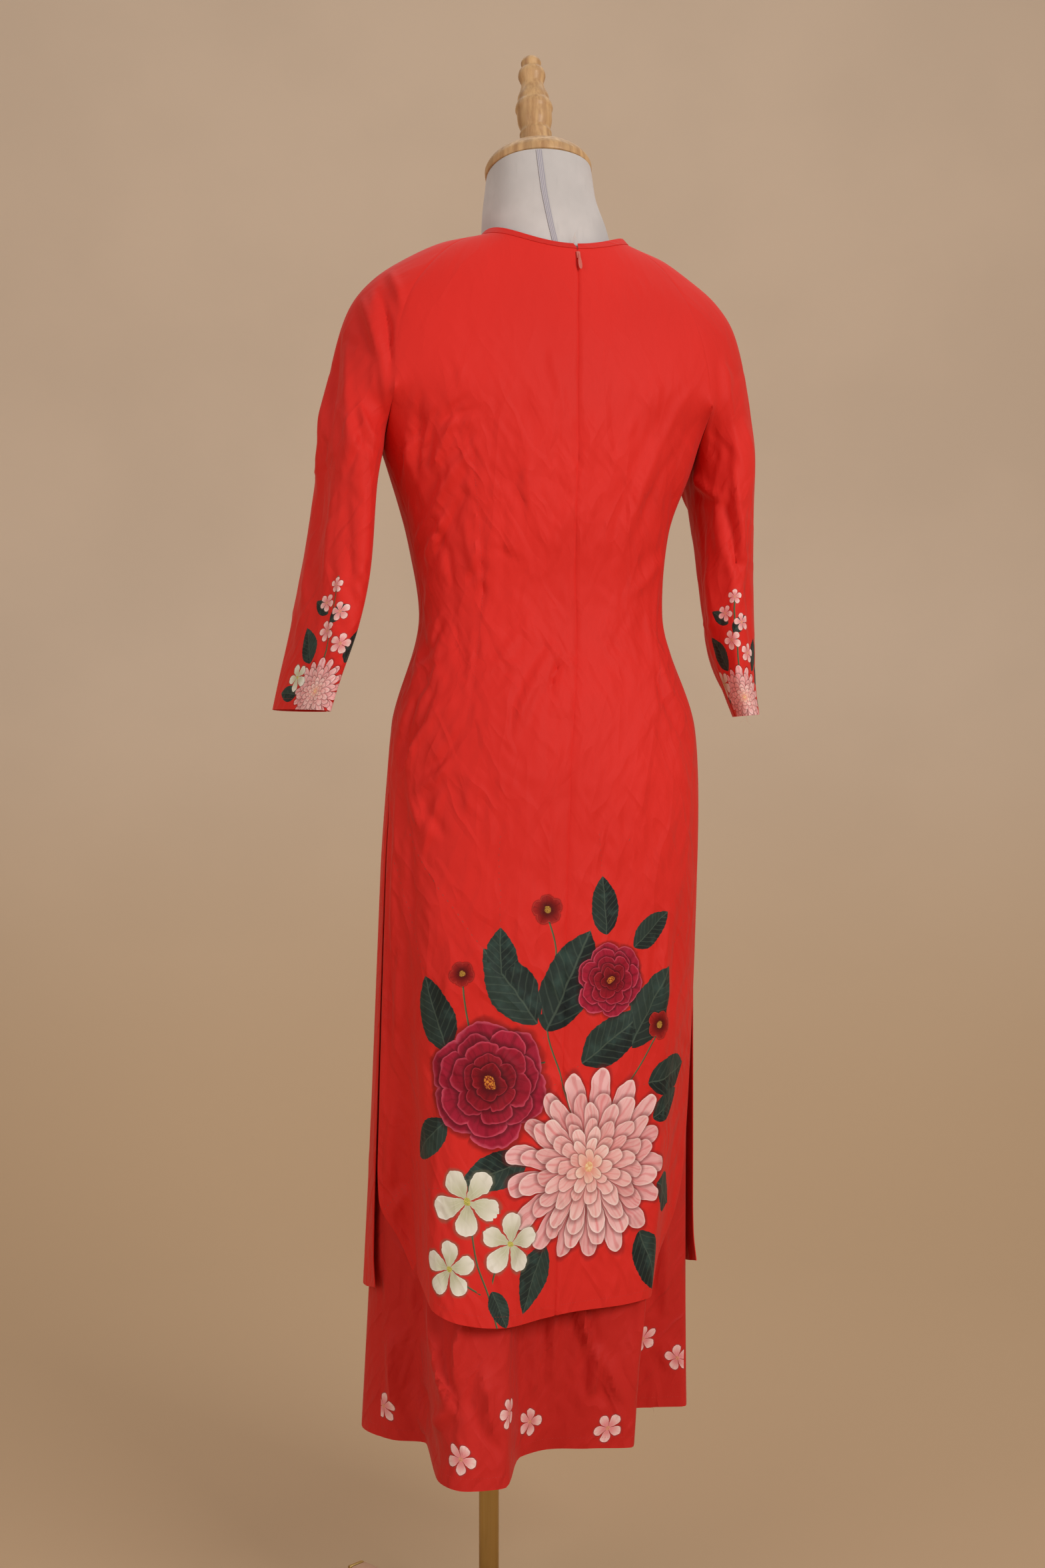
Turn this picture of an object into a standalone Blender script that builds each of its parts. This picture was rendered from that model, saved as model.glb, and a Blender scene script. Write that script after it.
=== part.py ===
"""A red ao dai, tunic over a long skirt, on a limbless dress form with a turned finial and a tripod stand.

Metres, +Z up. The garment's front faces -Y, its back +Y and the wearer's left side +X.
Angles round the body are in degrees: 0 at the centre back, 90 at the wearer's left side,
180 at the centre front and -90 at the wearer's right side.
"""

import math
from types import SimpleNamespace

import bpy
import numpy as np

SIDE_SEAM = 88  # the side seams' angle

# Cloth
WALL = 0.0012  # wall of a cloth panel
DOUBLE_WALL = 0.0018  # wall of a folded band
SEAM_GAP = 0.0003  # two panels at a seam

# Heights of the garment
UNDERARM = 1.315
SLIT_TOP = 0.958
TUNIC_HEM = 0.393
SKIRT_TOP = 1.092
SKIRT_HEM = 0.235
WAISTBAND = 0.028  # width of the skirt's band
SKIRT_INSET = 0.0065  # the skirt's middle surface inside the tunic's
DRAPE_POWER = 1.8  # how late the hem folds open on the way down

# The neck band and its opening at the centre back
BAND_OPENING_TOP = 0.0052
BAND_OPENING_FOOT = 0.0008

# The sleeve's vent at the cuff
VENT_HEIGHT = 0.038
VENT_OPENING = 0.0028

# The zip's slider and its hanging pull
SLIDER_WIDTH = 0.0042
SLIDER_HEIGHT = 0.0085
SLIDER_DEPTH = 0.0022
PULL_LENGTH = 0.0195
PULL_WIDTH = 0.0054
PULL_THICK = 0.0010

# The form, its wooden top and the stand
FORM_BOTTOM = 0.790
CAP_TILT = 12.0  # the cap's plane is higher at the back
CAP_HEIGHT = 1.6287
POLE_RADIUS = 0.0110
POLE_X, POLE_Y = 0.0575, 0.0
LEG_LENGTH = 0.225
LEG_WIDTH = 0.024
LEG_HEIGHT = 0.022
LEG_TURN = 150.0  # the first leg's direction, from the back towards the wearer's left
HUB_RADIUS = 0.030
HUB_HEIGHT = 0.050
BASE_MIDDLE = (-0.012, 0.0, 0.0)  # moves the whole so that its footprint's middle is the origin

CLOTH_RED = (0.66, 0.022, 0.018)
SKIRT_RED = (0.56, 0.018, 0.016)
FORM_LINEN = (0.62, 0.60, 0.60)
HONEY_WOOD = (0.50, 0.23, 0.075)
LEG_WOOD = (0.42, 0.22, 0.12)
BRASS = (0.46, 0.30, 0.10)
ZIP_PINK = (0.72, 0.20, 0.17)


class Rows:
    """A short table with named columns, read at any value of its first column along a smooth curve."""

    def __init__(self, names, rows):
        self.names = names.split()
        rows = sorted(rows)
        self.keys = np.array([row[0] for row in rows], float)
        self.values = np.array([row[1:] for row in rows], float)
        steps = np.diff(self.keys)[:, None]
        rises = np.diff(self.values, axis=0) / steps
        self.slopes = np.zeros_like(self.values)
        self.slopes[0], self.slopes[-1] = rises[0], rises[-1]
        before, after = rises[:-1], rises[1:]
        same_way = before * after > 0
        total = np.where(same_way, before + after, 1.0)
        self.slopes[1:-1] = np.where(same_way, 2 * before * after / total, 0.0)

    def at(self, key):
        key = min(max(key, self.keys[0]), self.keys[-1])
        i = min(int(np.searchsorted(self.keys, key, side="right")) - 1, len(self.keys) - 2)
        step = self.keys[i + 1] - self.keys[i]
        s = (key - self.keys[i]) / step
        found = (
            (1 + 2 * s) * (1 - s) ** 2 * self.values[i]
            + s * (1 - s) ** 2 * step * self.slopes[i]
            + s * s * (3 - 2 * s) * self.values[i + 1]
            + s * s * (s - 1) * step * self.slopes[i + 1]
        )
        return SimpleNamespace(**dict(zip(self.names[1:], found)))


# The yoke: rings from the neckline out over the shoulders to just above the underarm.
YOKE = Rows(
    "place half_width side back back_height front front_height centre raglan_left raglan_right raglan_front cb",
    [
        (0.00, 0.088, 1.545, 0.068, 1.531, 0.078, 1.462, -0.0146, 72, -62, 62, -5.5),
        (0.17, 0.125, 1.538, 0.083, 1.490, 0.095, 1.428, -0.0120, 65, -57, 58, -3.5),
        (0.33, 0.165, 1.518, 0.097, 1.455, 0.108, 1.400, -0.0090, 59, -51, 54, -2.0),
        (0.50, 0.199, 1.494, 0.106, 1.425, 0.116, 1.380, -0.0080, 55, -46, 51, -1.3),
        (0.67, 0.222, 1.464, 0.111, 1.400, 0.121, 1.365, -0.0070, 52, -43, 49, -1.0),
        (0.83, 0.236, 1.418, 0.114, 1.378, 0.124, 1.352, -0.0060, 50, -42, 47, -0.8),
        (1.00, 0.245, 1.366, 0.115, 1.358, 0.125, 1.342, -0.0060, 48, -41, 46, -0.7),
    ],
)
YOKE_PLACES = (0.0, 0.09, 0.18, 0.30, 0.42, 0.54, 0.66, 0.78, 0.89, 1.0)

# The body below the underarm; the tunic's panels hang on these rings.
TORSO = Rows(
    "height half_width back front centre cb",
    [
        (1.315, 0.180, 0.113, 0.124, -0.002, -2.6),
        (1.230, 0.148, 0.103, 0.120, 0.000, -4.0),
        (1.140, 0.138, 0.089, 0.100, -0.004, -4.6),
        (1.010, 0.173, 0.113, 0.110, -0.007, 0.7),
        (0.950, 0.177, 0.120, 0.112, -0.006, 2.0),
        (0.860, 0.180, 0.121, 0.112, -0.003, 2.0),
        (0.500, 0.183, 0.124, 0.118, 0.005, 2.0),
        (0.235, 0.184, 0.126, 0.122, 0.012, 2.0),
    ],
)

# Where the tunic's four side edges lie on those rings: at the side seams, then open below the slits.
EDGES = Rows(
    "height back_left back_right front_left front_right",
    [
        (1.315, SIDE_SEAM, -SIDE_SEAM, SIDE_SEAM, -SIDE_SEAM),
        (0.958, SIDE_SEAM, -SIDE_SEAM, SIDE_SEAM, -SIDE_SEAM),
        (0.900, 85, -82, 86.5, -87),
        (0.800, 84.5, -78, 86.5, -86.5),
        (0.520, 84.5, -76, 86.5, -86),
        (0.470, 83, -72, 86, -86),
        (0.430, 75, -63, 85, -85),
        (0.393, 70, -50, 80, -80),
    ],
)

# The plan of each hem, anticlockwise from above. A negative angle is on the wearer's right.
SKIRT_PLAN = [
    # angle, x, y, lift
    (-180, 0.012, -0.152, 0.0),
    (-155, -0.052, -0.150, 0.0),
    (-130, -0.122, -0.106, 0.0),
    (-108, -0.178, -0.052, 0.0),
    (-98, -0.184, -0.022, 0.0),
    (-88, -0.176, -0.006, 0.0),
    (-75, -0.154, -0.011, 0.0),
    (-55, -0.112, -0.018, 0.0),
    (-45, -0.096, 0.030, 0.0),
    (-33, -0.076, 0.094, -0.002),
    (-15, -0.030, 0.089, 0.0),
    (3, 0.014, 0.078, 0.0),
    (12, 0.047, 0.090, 0.0),
    (23, 0.086, 0.158, -0.005),
    (38, 0.126, 0.151, -0.006),
    (52, 0.145, 0.117, -0.004),
    (66, 0.134, 0.024, 0.0),
    (82, 0.167, 0.001, 0.0),
    (100, 0.190, -0.047, 0.0),
    (122, 0.160, -0.112, 0.0),
    (150, 0.096, -0.132, 0.0),
]
TUNIC_BACK_PLAN = [
    (-90, -0.186, 0.012, 0.008),
    (-78, -0.162, 0.016, 0.006),
    (-62, -0.127, 0.036, 0.004),
    (-50, -0.109, 0.070, 0.003),
    (-40, -0.093, 0.101, 0.002),
    (-25, -0.055, 0.112, 0.0),
    (-8, -0.005, 0.119, 0.0),
    (8, 0.036, 0.134, 0.0),
    (22, 0.084, 0.155, 0.0),
    (38, 0.130, 0.149, 0.006),
    (52, 0.155, 0.116, 0.019),
    (60, 0.152, 0.072, 0.027),
    (67, 0.149, 0.038, 0.032),
    (80, 0.180, 0.012, 0.040),
    (90, 0.196, 0.000, 0.040),
]
TUNIC_FRONT_PLAN = [
    (80, 0.187, 0.002, 0.010),
    (100, 0.189, -0.043, 0.002),
    (125, 0.160, -0.112, 0.0),
    (150, 0.100, -0.140, 0.0),
    (180, 0.010, -0.152, 0.0),
    (208, -0.065, -0.147, 0.0),
    (232, -0.132, -0.106, 0.0),
    (258, -0.190, -0.043, 0.002),
    (280, -0.190, 0.000, 0.010),
]

# The sleeves, from the closed ring at the underarm down to the cuff. Thin and wide are half sizes of
# the flattened tube, turn swings its back edge inwards, and seam is where the underarm seam lies.
SLEEVE_NAMES = "height centre thin wide turn seam"
LEFT_SLEEVE = Rows(
    SLEEVE_NAMES,
    [
        (1.318, 0.2130, 0.0350, 0.072, 0, -90),
        (1.280, 0.2180, 0.0280, 0.068, -6, -88),
        (1.230, 0.2230, 0.0260, 0.064, -12, -82),
        (1.180, 0.2300, 0.0260, 0.061, -18, -74),
        (1.120, 0.2420, 0.0220, 0.058, -22, -64),
        (1.060, 0.2590, 0.0150, 0.055, -23, -52),
        (1.029, 0.2670, 0.0120, 0.054, -23, -46),
    ],
)
RIGHT_SLEEVE = Rows(
    SLEEVE_NAMES,
    [
        (1.318, 0.2170, 0.0350, 0.072, 0, -90),
        (1.280, 0.2190, 0.0330, 0.068, -4, -88),
        (1.230, 0.2230, 0.0310, 0.064, -9, -84),
        (1.180, 0.2260, 0.0300, 0.060, -14, -80),
        (1.120, 0.2310, 0.0275, 0.057, -18, -76),
        (1.060, 0.2425, 0.0185, 0.054, -19, -70),
        (1.029, 0.2510, 0.0145, 0.053, -19, -66),
    ],
)
CUFF_SLOPE = 0.09  # a sleeve's rings rise outwards by this much of their width

# The dress form: rings from the top of the neck to the flat bottom.
FORM = Rows(
    "place half_width side back back_height front front_height centre",
    [
        (0, 0.0580, 1.6280, 0.0580, 1.6403, 0.0580, 1.6157, 0.0000),
        (1, 0.0622, 1.6000, 0.0590, 1.6050, 0.0590, 1.5950, -0.0010),
        (2, 0.0695, 1.5720, 0.0590, 1.5640, 0.0600, 1.5500, -0.0058),
        (3, 0.0725, 1.5540, 0.0590, 1.5340, 0.0640, 1.5000, -0.0083),
        (4, 0.0800, 1.5410, 0.0620, 1.5100, 0.0720, 1.4600, -0.0080),
        (5, 0.1180, 1.5363, 0.0760, 1.4800, 0.0880, 1.4250, -0.0110),
        (6, 0.1580, 1.5175, 0.0900, 1.4450, 0.1000, 1.3950, -0.0085),
        (7, 0.1800, 1.4995, 0.0970, 1.4200, 0.1060, 1.3800, -0.0070),
        (8, 0.1890, 1.4730, 0.1000, 1.4000, 0.1100, 1.3700, -0.0060),
        (9, 0.1850, 1.4200, 0.1010, 1.3800, 0.1110, 1.3600, -0.0050),
        (10, 0.1700, 1.3500, 0.1000, 1.3400, 0.1110, 1.3350, -0.0030),
        (11, 0.1640, 1.3000, 0.0980, 1.3000, 0.1100, 1.3000, -0.0020),
        (12, 0.1340, 1.2300, 0.0890, 1.2300, 0.1060, 1.2300, 0.0000),
        (13, 0.1268, 1.1400, 0.0778, 1.1400, 0.0888, 1.1400, -0.0040),
        (14, 0.1590, 1.0100, 0.0990, 1.0100, 0.0960, 1.0100, -0.0070),
        (15, 0.1630, 0.9200, 0.1060, 0.9200, 0.0980, 0.9200, -0.0050),
        (16, 0.1590, 0.8300, 0.1020, 0.8300, 0.0950, 0.8300, -0.0020),
        (17, 0.1550, 0.7900, 0.0980, 0.7900, 0.0920, 0.7900, 0.0000),
    ],
)
FULLNESS = 0.07  # how much fuller than an ellipse a body ring is at its four quarters

# Turned profiles, radius and height above the piece's own foot, from the foot to the top.
CAP_PROFILE = [
    (0.0570, 0.0000),
    (0.0595, 0.0015),
    (0.0598, 0.0070),
    (0.0575, 0.0125),
    (0.0505, 0.0200),
    (0.0400, 0.0265),
    (0.0280, 0.0310),
    (0.0190, 0.0325),
]
FINIAL_PROFILE = [
    (0.0178, 0.0000),
    (0.0180, 0.0090),
    (0.0177, 0.0153),
    (0.0181, 0.0189),
    (0.0168, 0.0224),
    (0.0165, 0.0248),
    (0.0177, 0.0284),
    (0.0194, 0.0355),
    (0.0198, 0.0455),
    (0.0212, 0.0498),
    (0.0204, 0.0546),
    (0.0182, 0.0594),
    (0.0177, 0.0640),
    (0.0166, 0.0677),
    (0.0143, 0.0736),
    (0.0126, 0.0810),
    (0.0143, 0.0867),
    (0.0155, 0.0915),
    (0.0142, 0.0975),
    (0.0107, 0.1020),
    (0.0115, 0.1075),
    (0.0095, 0.1122),
]


def clear_scene():
    for obj in list(bpy.data.objects):
        bpy.data.objects.remove(obj)


def material(name, colour, roughness, metallic=0.0):
    made = bpy.data.materials.new(name)
    made.use_nodes = True
    shader = made.node_tree.nodes["Principled BSDF"]
    shader.inputs["Base Color"].default_value = (*colour, 1)
    shader.inputs["Roughness"].default_value = roughness
    shader.inputs["Metallic"].default_value = metallic
    return made


def add_mesh(name, points, faces, finish, sharp_degrees=40):
    mesh = bpy.data.meshes.new(name)
    mesh.from_pydata([tuple(point) for point in points], [], faces)
    mesh.shade_smooth()
    mesh.set_sharp_from_angle(angle=math.radians(sharp_degrees))
    mesh.materials.append(finish)
    obj = bpy.data.objects.new(name, mesh)
    bpy.context.scene.collection.objects.link(obj)
    return obj


def unit(vectors):
    return vectors / np.maximum(np.linalg.norm(vectors, axis=-1, keepdims=True), 1e-9)


def ring_point(row, degrees):
    """A point of a ring whose back, front and sides may lie at different heights."""
    s, c = math.sin(math.radians(degrees)), math.cos(math.radians(degrees))
    depth = row.back if c > 0 else row.front
    tilt = (row.back_height - row.front_height) / 2
    dip = (row.back_height + row.front_height) / 2 - row.side
    x = row.centre + row.half_width * s * (1 + FULLNESS * c * c)
    y = depth * c * (1 + FULLNESS * s * s)
    return np.array([x, y, row.side + tilt * c + dip * c * c])


def torso_point(height, degrees, inset=0.0):
    """A point of the level ring at this height, moved in by the inset."""
    row = TORSO.at(height)
    level = SimpleNamespace(
        half_width=row.half_width - inset,
        back=row.back - inset,
        front=row.front - inset,
        centre=row.centre,
        side=height,
        back_height=height,
        front_height=height,
    )
    return ring_point(level, degrees)


def plan_point(plan, degrees):
    """A point of a hem's plan, and its lift, on a smooth curve; a closed plan wraps round."""
    rows = np.array(sorted(plan), float)
    closed = rows[-1, 0] - rows[0, 0] > 300
    if closed:
        degrees = (degrees + 180) % 360 - 180
        before, after = rows[-2:].copy(), rows[:3].copy()
        before[:, 0] -= 360
        after[:, 0] += 360
        rows = np.vstack([before, rows, after])
    curve = Rows("angle x y lift", [tuple(row) for row in rows])
    return curve.at(degrees)


def hanging_point(height, degrees, plan, hem, inset=0.0):
    """Below the hips the cloth runs from the body's ring to the hem's plan, opening late."""
    point = torso_point(height, degrees, inset)
    fall = (SLIT_TOP - height) / (SLIT_TOP - hem)
    if fall <= 0:
        return point
    opening = fall**DRAPE_POWER
    end = plan_point(plan, degrees)
    foot = torso_point(hem, degrees, inset)
    return point + opening * np.array([end.x - foot[0], end.y - foot[1], end.lift])


def spread(first, last, count):
    """The angles of a row's points, with one more beyond each end that only turns the wall's edge."""
    step = (last - first) / count
    return np.linspace(first - step, last + step, count + 3)


def close_seam(grid, column, gap=SEAM_GAP):
    """Moves the first or last real column towards its own panel by half a seam's gap."""
    edge, inner = (1, 2) if column == 0 else (-2, -3)
    inwards = unit(grid[:, inner] - grid[:, edge])
    grid[:, edge] += inwards * np.reshape(gap, (-1, 1)) / 2


def cloth(name, grid, finish, wall=WALL):
    """A panel: rows run down and columns with the angle; the wall is laid half on each side."""
    down = np.gradient(grid, axis=0)
    across = np.gradient(grid, axis=1)
    outwards = unit(np.cross(across, down))[:, 1:-1]
    grid = grid[:, 1:-1]
    rows, columns = grid.shape[:2]
    outer = (grid + outwards * wall / 2).reshape(-1, 3)
    inner = (grid - outwards * wall / 2).reshape(-1, 3)
    points = np.concatenate([outer, inner])
    inside = rows * columns

    def at(row, column):
        return row * columns + column

    faces = []
    for row in range(rows - 1):
        for column in range(columns - 1):
            a, b = at(row, column), at(row, column + 1)
            c, d = at(row + 1, column + 1), at(row + 1, column)
            faces += [(a, c, d), (a, b, c)]
            faces += [(a + inside, d + inside, c + inside), (a + inside, c + inside, b + inside)]
    rim = [at(0, column) for column in range(columns)]
    rim += [at(row, columns - 1) for row in range(1, rows)]
    rim += [at(rows - 1, column) for column in range(columns - 2, -1, -1)]
    rim += [at(row, 0) for row in range(rows - 2, 0, -1)]
    for a, b in zip(rim, rim[1:] + rim[:1]):
        faces += [(b, a, a + inside), (b, a + inside, b + inside)]
    return add_mesh(name, points, faces, finish)


# Body panels

BODY_HEIGHTS = (1.280, 1.245, 1.210, 1.175, 1.140, 1.105, 1.070, 1.035, 1.0, SLIT_TOP)
HANGING_HEIGHTS = (0.920, 0.875, 0.820, 0.760, 0.700, 0.640, 0.580, 0.520, 0.470, 0.430, TUNIC_HEM)
UNDERARM_STEPS = (0.34, 0.67, 1.0)


def yoke_row(place, first, last, columns):
    row = YOKE.at(place)
    return np.array([ring_point(row, angle) for angle in spread(first, last, columns)])


def body_rows(columns, yoke_ends, torso_ends, plan):
    """A body panel's grid: the yoke's rings, the underarm's ring, the torso and the hanging part."""
    rows = [yoke_row(place, *yoke_ends(YOKE.at(place)), columns) for place in YOKE_PLACES]
    last_yoke = rows[-1]
    underarm = np.array([torso_point(UNDERARM, angle) for angle in spread(*torso_ends(UNDERARM), columns)])
    rows += [last_yoke + step * (underarm - last_yoke) for step in UNDERARM_STEPS]
    for height in BODY_HEIGHTS:
        rows.append(np.array([torso_point(height, angle) for angle in spread(*torso_ends(height), columns)]))
    for height in HANGING_HEIGHTS:
        angles = spread(*torso_ends(height), columns)
        rows.append(np.array([hanging_point(height, angle, plan, TUNIC_HEM) for angle in angles]))
    return np.array(rows)


def back_panels(finish):
    left = body_rows(
        10,
        lambda row: (row.cb, row.raglan_left),
        lambda height: (TORSO.at(height).cb, EDGES.at(height).back_left),
        TUNIC_BACK_PLAN,
    )
    right = body_rows(
        10,
        lambda row: (row.raglan_right, row.cb),
        lambda height: (EDGES.at(height).back_right, TORSO.at(height).cb),
        TUNIC_BACK_PLAN,
    )
    for name, grid in (("back_left", left), ("back_right", right)):
        close_seam(grid, 0)
        close_seam(grid, -1)
        cloth(name, grid, finish)


def front_panel(finish):
    grid = body_rows(
        20,
        lambda row: (180 - row.raglan_front, 180 + row.raglan_front),
        lambda height: (EDGES.at(height).front_left, 360 + EDGES.at(height).front_right),
        TUNIC_FRONT_PLAN,
    )
    close_seam(grid, 0)
    close_seam(grid, -1)
    cloth("front", grid, finish)


# Sleeves

SLEEVE_COLUMNS = 20
SLEEVE_HEIGHTS = (1.290, 1.255, 1.215, 1.175, 1.135, 1.100, 1.067, 1.048, 1.029)


def sleeve_ring(table, height, side):
    """A closed ring of a flattened sleeve, from the underarm seam round the back and the front."""
    row = table.at(height)
    turn = math.radians(row.turn)
    wide = np.array([math.sin(turn), math.cos(turn)])
    thin = np.array([math.cos(turn), -math.sin(turn)])
    points = []
    for angle in np.radians(spread(row.seam, row.seam + 360, SLEEVE_COLUMNS)):
        x, y = row.wide * math.cos(angle) * wide + row.thin * math.sin(angle) * thin
        points.append([side * (row.centre + x), y, height + CUFF_SLOPE * x])
    return np.array(points)


def sleeve(name, side, table, finish):
    def cap_row(place):
        row = YOKE.at(place)
        first = row.raglan_left if side > 0 else row.raglan_right
        return yoke_row(place, first, side * (180 - row.raglan_front), SLEEVE_COLUMNS)

    rows = [cap_row(place) for place in YOKE_PLACES]
    last_cap = rows[-1]
    underarm = sleeve_ring(table, table.keys[-1], side)
    seam = torso_point(UNDERARM, side * SIDE_SEAM) + [side * (WALL + 2 * SEAM_GAP), 0, 0]
    share = np.clip(spread(0, 1, SLEEVE_COLUMNS), 0, 1)[:, None]
    near_start = np.clip(1 - 4 * share, 0, 1) ** 2
    near_end = near_start[::-1]
    underarm = underarm + (seam - underarm[1]) * near_start + (seam - underarm[-2]) * near_end
    rows += [last_cap + step * (underarm - last_cap) for step in UNDERARM_STEPS]
    rows += [sleeve_ring(table, height, side) for height in SLEEVE_HEIGHTS]
    grid = np.array(rows)
    open_from = SLEEVE_HEIGHTS[-1] + VENT_HEIGHT
    gaps = np.full(len(rows), SEAM_GAP)
    for index, height in enumerate(SLEEVE_HEIGHTS):
        vent = max(0.0, (open_from - height) / VENT_HEIGHT)
        gaps[index - len(SLEEVE_HEIGHTS)] += vent * VENT_OPENING
    close_seam(grid, 0, gaps)
    close_seam(grid, -1, gaps)
    if side < 0:
        grid = grid[:, ::-1]
    cloth(name, grid, finish)


# Neck band and zip

BAND_COLUMNS = 36
BAND_RISE = 0.0065  # the band stands this much above the panels' neck edge
BAND_DRAW = 0.0055  # and this much further in


def neck_band(finish):
    """A folded band round the neckline, open in a small V at the centre back."""
    row = YOKE.at(0)
    rings = []
    for share, opening in ((1.0, BAND_OPENING_TOP), (0.5, 0.5 * BAND_OPENING_TOP), (0.0, BAND_OPENING_FOOT)):
        level = SimpleNamespace(
            half_width=row.half_width - BAND_DRAW * share,
            back=row.back - BAND_DRAW * share,
            front=row.front - BAND_DRAW * share,
            side=row.side + BAND_RISE * share + SEAM_GAP,
            back_height=row.back_height + BAND_RISE * share + SEAM_GAP,
            front_height=row.front_height + BAND_RISE * share + SEAM_GAP,
            centre=row.centre,
        )
        half_gap = math.degrees(opening / 2 / row.half_width)
        angles = spread(row.cb + half_gap, row.cb + 360 - half_gap, BAND_COLUMNS)
        rings.append([ring_point(level, angle) for angle in angles])
    grid = np.array(rings)
    grid[-1] += unit(grid[0] - grid[-1]) * SEAM_GAP
    cloth("neck_band", grid, finish, wall=DOUBLE_WALL)


def rounded_plate(name, outline, back, depth, finish):
    """A flat plate facing +Y with this outline in X and Z."""
    count = len(outline)
    points = [(x, back, z) for x, z in outline]
    points += [(x, back + depth, z) for x, z in outline]
    faces = [tuple(range(count)), tuple(range(2 * count - 1, count - 1, -1))]
    for i in range(count):
        j = (i + 1) % count
        faces.append((j, i, i + count, j + count))
    return add_mesh(name, points, faces, finish)


def capsule_outline(half_width, top, bottom, steps=8):
    """A long rounded outline from its top arc to its bottom arc."""
    points = []
    for i in range(steps + 1):
        angle = math.pi * i / steps
        points.append((half_width * math.cos(angle), top - half_width + half_width * math.sin(angle)))
    for i in range(steps + 1):
        angle = math.pi + math.pi * i / steps
        points.append((half_width * math.cos(angle), bottom + half_width + half_width * math.sin(angle)))
    return points


def teardrop_outline(length, width, steps=14):
    """The pull's outline, hanging down from its eye: narrow above, full below."""
    points = []
    for i in range(steps):
        angle = 2 * math.pi * i / steps
        z = -length / 2 + length / 2 * math.cos(angle)
        fullness = 0.36 + 0.64 * (-z / length) ** 0.8
        points.append((-width / 2 * math.sin(angle) * fullness, z))
    return points


ZIP_PLACE = 0.035  # the slider's place on the yoke, just under the band


def zip_place():
    """The slider's seat on the cloth at the centre back, and the cloth's slope there from upright."""
    row = YOKE.at(ZIP_PLACE)
    seat = ring_point(row, row.cb)
    below = YOKE.at(3 * ZIP_PLACE)
    fall = ring_point(below, below.cb) - seat
    slope = math.atan2(fall[1], -fall[2])
    outwards = np.array([0, math.cos(slope), math.sin(slope)])
    return seat + outwards * (WALL / 2 + 2 * SEAM_GAP), slope, outwards


def zip_slider(finish):
    seat, slope, _ = zip_place()
    outline = capsule_outline(SLIDER_WIDTH / 2, SLIDER_HEIGHT / 2, -SLIDER_HEIGHT / 2)
    slider = rounded_plate("zip_slider", outline, 0.0, SLIDER_DEPTH, finish)
    slider.location = seat
    slider.rotation_euler.x = slope


def zip_pull(finish):
    """The pull hangs from a pin line across the slider's face, lies along the cloth and swings out and up."""
    seat, slope, outwards = zip_place()
    outline = teardrop_outline(PULL_LENGTH, PULL_WIDTH)
    pull = rounded_plate("zip_pull", outline, -PULL_THICK / 2, PULL_THICK, finish)
    pull.location = seat + outwards * (SLIDER_DEPTH + SEAM_GAP + PULL_THICK / 2)
    pull.rotation_euler.x = slope


# Skirt

SKIRT_HEIGHTS = (SKIRT_TOP, 1.05, 1.01, SLIT_TOP, 0.90, 0.83, 0.74)
SKIRT_HEIGHTS += (0.65, 0.56, 0.48, 0.41, 0.345, 0.285, SKIRT_HEM)
SKIRT_COLUMNS = 26


def skirt_grid(first, last):
    rows = []
    for height in SKIRT_HEIGHTS:
        angles = spread(first, last, SKIRT_COLUMNS)
        rows.append([hanging_point(height, angle, SKIRT_PLAN, SKIRT_HEM, SKIRT_INSET) for angle in angles])
    return np.array(rows)


def skirt(finish):
    spans = (("skirt_back", -SIDE_SEAM, SIDE_SEAM), ("skirt_front", SIDE_SEAM, 360 - SIDE_SEAM))
    for name, first, last in spans:
        grid = skirt_grid(first, last)
        close_seam(grid, 0)
        close_seam(grid, -1)
        cloth(name, grid, finish)


def waistband(finish):
    """An elastic band just above the skirt's top edge, open at the wearer's left side seam."""
    rings = []
    for height in (SKIRT_TOP + WAISTBAND, SKIRT_TOP + WALL / 2 + SEAM_GAP):
        rings.append([torso_point(height, angle, SKIRT_INSET) for angle in spread(SIDE_SEAM, SIDE_SEAM + 360, 40)])
    grid = np.array(rings)
    close_seam(grid, 0)
    close_seam(grid, -1)
    cloth("waistband", grid, finish, wall=DOUBLE_WALL)


# Dress form and stand

FORM_SIDES = 30
FORM_STEP = 0.5


def form_torso(finish):
    places = np.arange(0, FORM.keys[-1] + FORM_STEP / 2, FORM_STEP)
    rings = [[ring_point(FORM.at(place), 360 * i / FORM_SIDES) for i in range(FORM_SIDES)] for place in places]
    loft("form_torso", rings, finish)


def loft(name, rings, finish, sharp_degrees=40):
    """A solid through closed rings, from the top ring down, with a flat fan at each end."""
    sides = len(rings[0])
    points = [point for ring in rings for point in ring]
    faces = []
    for level in range(len(rings) - 1):
        for i in range(sides):
            j = (i + 1) % sides
            a, b = level * sides + i, level * sides + j
            faces += [(a, b + sides, a + sides), (a, b, b + sides)]
    top = len(points)
    points.append(np.mean(rings[0], axis=0))
    points.append(np.mean(rings[-1], axis=0))
    last = (len(rings) - 1) * sides
    for i in range(sides):
        j = (i + 1) % sides
        faces += [(top, j, i), (top + 1, last + i, last + j)]
    return add_mesh(name, points, faces, finish, sharp_degrees)


def turned(name, profile, finish, sides=20):
    """A turned solid about its own Z axis, from a profile that runs from its foot to its top."""
    rings = []
    for radius, height in reversed(profile):
        angles = [2 * math.pi * i / sides for i in range(sides)]
        rings.append([(radius * math.sin(a), radius * math.cos(a), height) for a in angles])
    return loft(name, rings, finish)


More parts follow.
